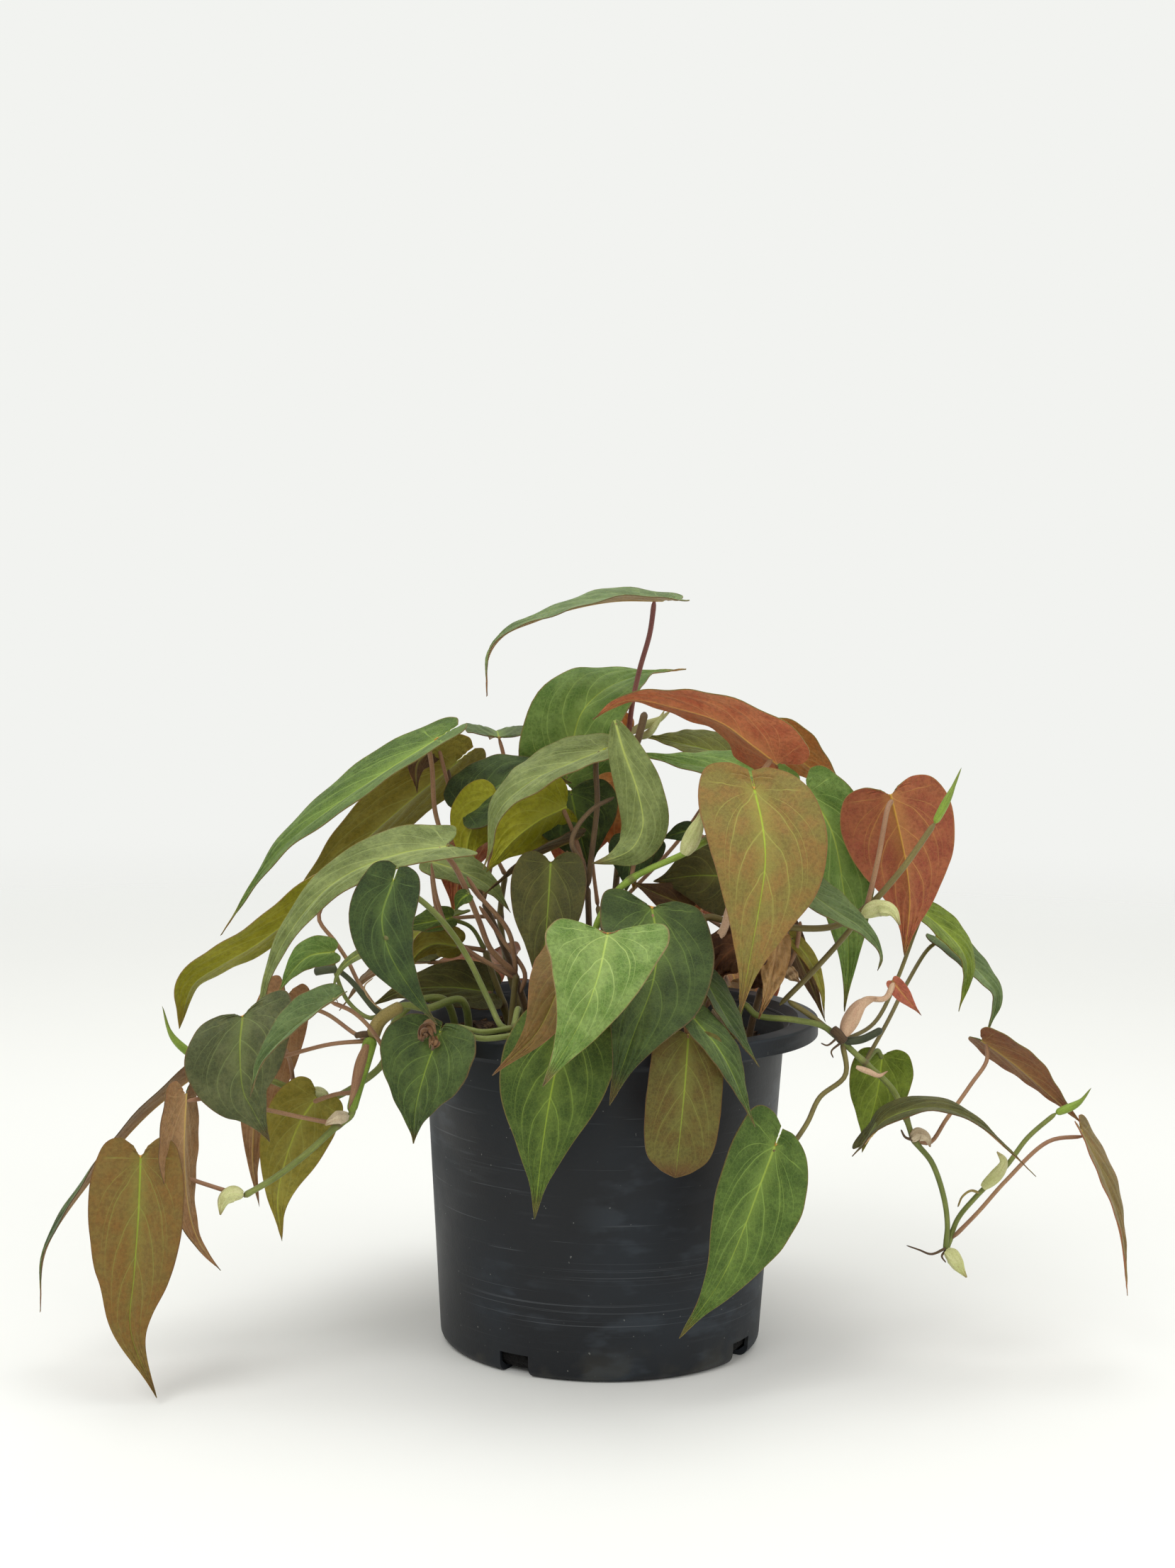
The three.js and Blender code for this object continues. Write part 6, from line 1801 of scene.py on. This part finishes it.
@dataclass(frozen=True)
class PottingMix:
    """The mix in the pot: a block with a rough top, and bark chips strewn over it."""

    node: str = "soil"
    bottom: float = 2.5
    foot: Point2 = (73.4, 5.8)
    edge: float = 82.1
    edge_drop: float = 2.0
    fade_width: float = 6.0
    top: float = 140.0
    slow_wave: float = 1.44
    fine_wave: float = 0.55
    middle: float = 0.5
    under: tuple[float, ...] = (70.2, 35.0, 0.5)
    rings: int = 60
    facets: int = 180
    chips: int = 620
    chip_size: Point = (3.6, 2.2, 1.0)
    chip_spread: float = 0.35
    chip_wander: float = 0.22
    chip_tip: float = 0.4
    chip_lift: float = 0.3
    chip_margin: float = 5.0
    sharp_angle: float = 35.0
    body: MixFinish = MixFinish((34, 25, 19), (62, 46, 34), (98, 80, 60))
    bark: MixFinish = MixFinish((50, 38, 28), (80, 60, 42), (116, 94, 68), 420.0)

    def height(self, x: np.ndarray, y: np.ndarray) -> np.ndarray:
        """Gives the height of the mix's top at a place.

        Formula: the level of the top plus slow waves round the middle and finer crossing waves, which fade at
        the edge.

        Args:
            x: How far to the right the place lies.
            y: How far behind the middle it lies.

        Returns:
            The height.
        """
        radius, turn = np.hypot(x, y), np.arctan2(y, x)
        slow = np.sin(0.19 * radius + 5 * turn) * np.cos(7 * turn - 0.11 * radius)
        fine = (np.sin(0.83 * x + 1.1 * np.sin(0.5 * y)) * np.sin(0.91 * y + 0.9 * np.sin(0.43 * x))
                + 0.6 * np.sin(1.9 * x + 2 * np.sin(0.9 * y)) * np.sin(2.1 * y + 1.7 * np.sin(1.1 * x)))
        fade = np.clip((self.edge - radius) / self.fade_width, 0, 1)
        return self.top - self.edge_drop * (1 - fade) + fade * (self.slow_wave * slow + self.fine_wave * fine)

    def block(self) -> Surface:
        """Builds the block: rings from the middle of the top out to its edge, down the wall and in again.

        Returns:
            The block.
        """
        foot_radius, foot_height = self.foot
        share = np.array([0.75, 0.5, 0.25, 0.0])
        wall_radius = foot_radius + (self.edge - foot_radius) * share
        wall_height = foot_height + (self.top - self.edge_drop - foot_height) * share
        radius = np.concatenate([np.linspace(self.middle, self.edge, self.rings), wall_radius, self.under])
        low = np.concatenate([wall_height, np.full(len(self.under), self.bottom)])
        angle = np.linspace(0, 2 * math.pi, self.facets, endpoint=False)
        x, y = radius[:, None] * np.cos(angle), radius[:, None] * np.sin(angle)
        z = np.concatenate([self.height(x[:self.rings], y[:self.rings]),
                            np.repeat(low[:, None], self.facets, axis=1)])
        points = np.stack([x, y, z], axis=-1).reshape(-1, 3)
        points = np.vstack([points, [0, 0, z[0].mean()], [0, 0, self.bottom]])
        return Surface.plain(points, ring_triangles(len(radius), self.facets)[:, [0, 2, 1]])

    def strewn(self, spread: np.random.Generator) -> Surface:
        """Strews bark chips over the top.

        Formula: each chip is a slim box whose corners wander a little, turned at random about the upright and
        tipped, with its middle on the mix's height at its place.

        Args:
            spread: The source of chance.

        Returns:
            All the chips.
        """
        far = (self.edge - self.chip_margin) * np.sqrt(spread.random(self.chips))
        turn = 2 * math.pi * spread.random(self.chips)
        x, y = far * np.cos(turn), far * np.sin(turn)
        size = np.exp(spread.normal(0, self.chip_spread, (self.chips, 1))) * self.chip_size
        shape = (BOX_CORNERS + spread.normal(0, self.chip_wander, (self.chips, 8, 3))) * size[:, None]
        spin = 2 * math.pi * spread.random(self.chips)
        tip, roll = spread.normal(0, self.chip_tip, (2, self.chips))
        for angle, (first, second) in ((roll, (1, 2)), (tip, (0, 2)), (spin, (0, 1))):
            cos, sin = np.cos(angle)[:, None], np.sin(angle)[:, None]
            one, two = shape[..., first].copy(), shape[..., second].copy()
            shape[..., first], shape[..., second] = one * cos - two * sin, one * sin + two * cos
        points = shape + np.stack([x, y, self.height(x, y) + self.chip_lift], axis=-1)[:, None]
        triangles = BOX_TRIANGLES[None] + len(BOX_CORNERS) * np.arange(self.chips)[:, None, None]
        return Surface.plain(points.reshape(-1, 3), triangles.reshape(-1, 3), finish=1)

    def build(self) -> bpy.types.Object:
        """Makes the mix with its chips and dresses it.

        Returns:
            The mix.
        """
        spread = np.random.default_rng(SEED)
        finishes = [self.body.material("potting_mix"), self.bark.material("bark_chips")]
        mix = make_piece("potting_mix", [self.block(), self.strewn(spread)], finishes, self.sharp_angle)
        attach(mix, "root")
        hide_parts(self.node)
        return mix


@dataclass(frozen=True)
class Lamp:
    """A large soft light that looks at the plant, in metres and watts."""

    name: str
    place: Point
    size: float
    power: float

    def hang(self, target: Point) -> None:
        """Hangs the light.

        Args:
            target: What it looks at, in metres.
        """
        data = bpy.data.lights.new(self.name, "AREA")
        data.shape = "DISK"
        data.size = self.size
        data.energy = self.power
        lamp = bpy.data.objects.new(self.name, data)
        lamp.location = self.place
        aim = Vector(target) - Vector(self.place)
        lamp.rotation_euler = aim.to_track_quat("-Z", "Y").to_euler()
        bpy.context.scene.collection.objects.link(lamp)


@dataclass(frozen=True)
class Studio:
    """A plain pale floor that fades into a plain pale surround, and soft lights."""

    floor_radius: float = 4.0
    floor_facets: int = 96
    floor_clear: Point2 = (2.6, 0.6)
    floor_colour: Colour = (243, 243, 240)
    floor_cloud: Colour = (232, 232, 226)
    surround: Colour = (242, 243, 240)
    shine: float = 0.85
    target: Point = (0.0, 0.0, 0.17)
    lamps: tuple[Lamp, ...] = (
        Lamp("key", (-0.9, -1.3, 1.9), 1.2, 16), Lamp("fill", (1.5, -1.0, 1.1), 1.2, 5),
        Lamp("top", (0.1, 0.2, 2.2), 1.4, 12))

    def floor(self) -> None:
        """Makes the floor: a disc that turns clear towards its rim."""
        angle = np.linspace(0, 2 * math.pi, self.floor_facets, endpoint=False)
        ring = np.stack([np.cos(angle), np.sin(angle), 0 * angle], axis=1) * self.floor_radius / METRES
        here = np.arange(self.floor_facets)
        triangles = np.stack([np.full_like(here, self.floor_facets), here, np.roll(here, -1)], axis=1)
        work = NodeWork("pale_floor")
        away = work.add("ShaderNodeVectorMath", operation="LENGTH")
        work.feed(away.inputs[0], work.object_place)
        work.dress({
            "Base Color": work.blend(work.times(work.noise(3, 3), 0.25), self.floor_colour, self.floor_cloud),
            "Roughness": work.step("MULTIPLY_ADD", work.noise(40, 2), 0.1, 0.6), "Specular IOR Level": 0.2,
            "Alpha": work.ramp(away.outputs["Value"], *self.floor_clear)})
        surface = Surface.plain(np.vstack([ring, [0, 0, 0]]), triangles)
        floor = make_piece("floor", [surface], [work.material])

    def sky(self) -> None:
        """Makes the surround: pale to the eye, and dimmer as a light so that the leaves keep their shade."""
        world = bpy.data.worlds.new("surround")
        world.use_nodes = True
        tree = world.node_tree
        pale, dim = tree.nodes["Background"], tree.nodes.new("ShaderNodeBackground")
        for background in (pale, dim):
            background.inputs["Color"].default_value = paint(self.surround)
        dim.inputs["Strength"].default_value = self.shine
        ray = tree.nodes.new("ShaderNodeLightPath")
        choose = tree.nodes.new("ShaderNodeMixShader")
        tree.links.new(ray.outputs["Is Camera Ray"], choose.inputs[0])
        tree.links.new(dim.outputs[0], choose.inputs[1])
        tree.links.new(pale.outputs[0], choose.inputs[2])
        tree.links.new(choose.outputs[0], tree.nodes["World Output"].inputs["Surface"])
        bpy.context.scene.world = world

    def build(self) -> None:
        """Makes the floor, the surround, the lights and the camera."""
        VIEWER.camera()
        self.floor()
        self.sky()
        bpy.context.scene.view_settings.view_transform = "Standard"
        for lamp in self.lamps:
            lamp.hang(self.target)


def main() -> None:
    """Builds the studio and the pieces in order, and logs each piece's triangles."""
    logging.basicConfig(level=logging.INFO, format="%(name)s: %(message)s")
    Studio().build()
    makers = [NurseryPot(), PottingMix(), *STEMS]
    for maker in makers:
        piece = maker.build()
        log.info("%s: %d triangles", piece.name, len(piece.data.polygons))


if __name__ == "__main__":
    main()
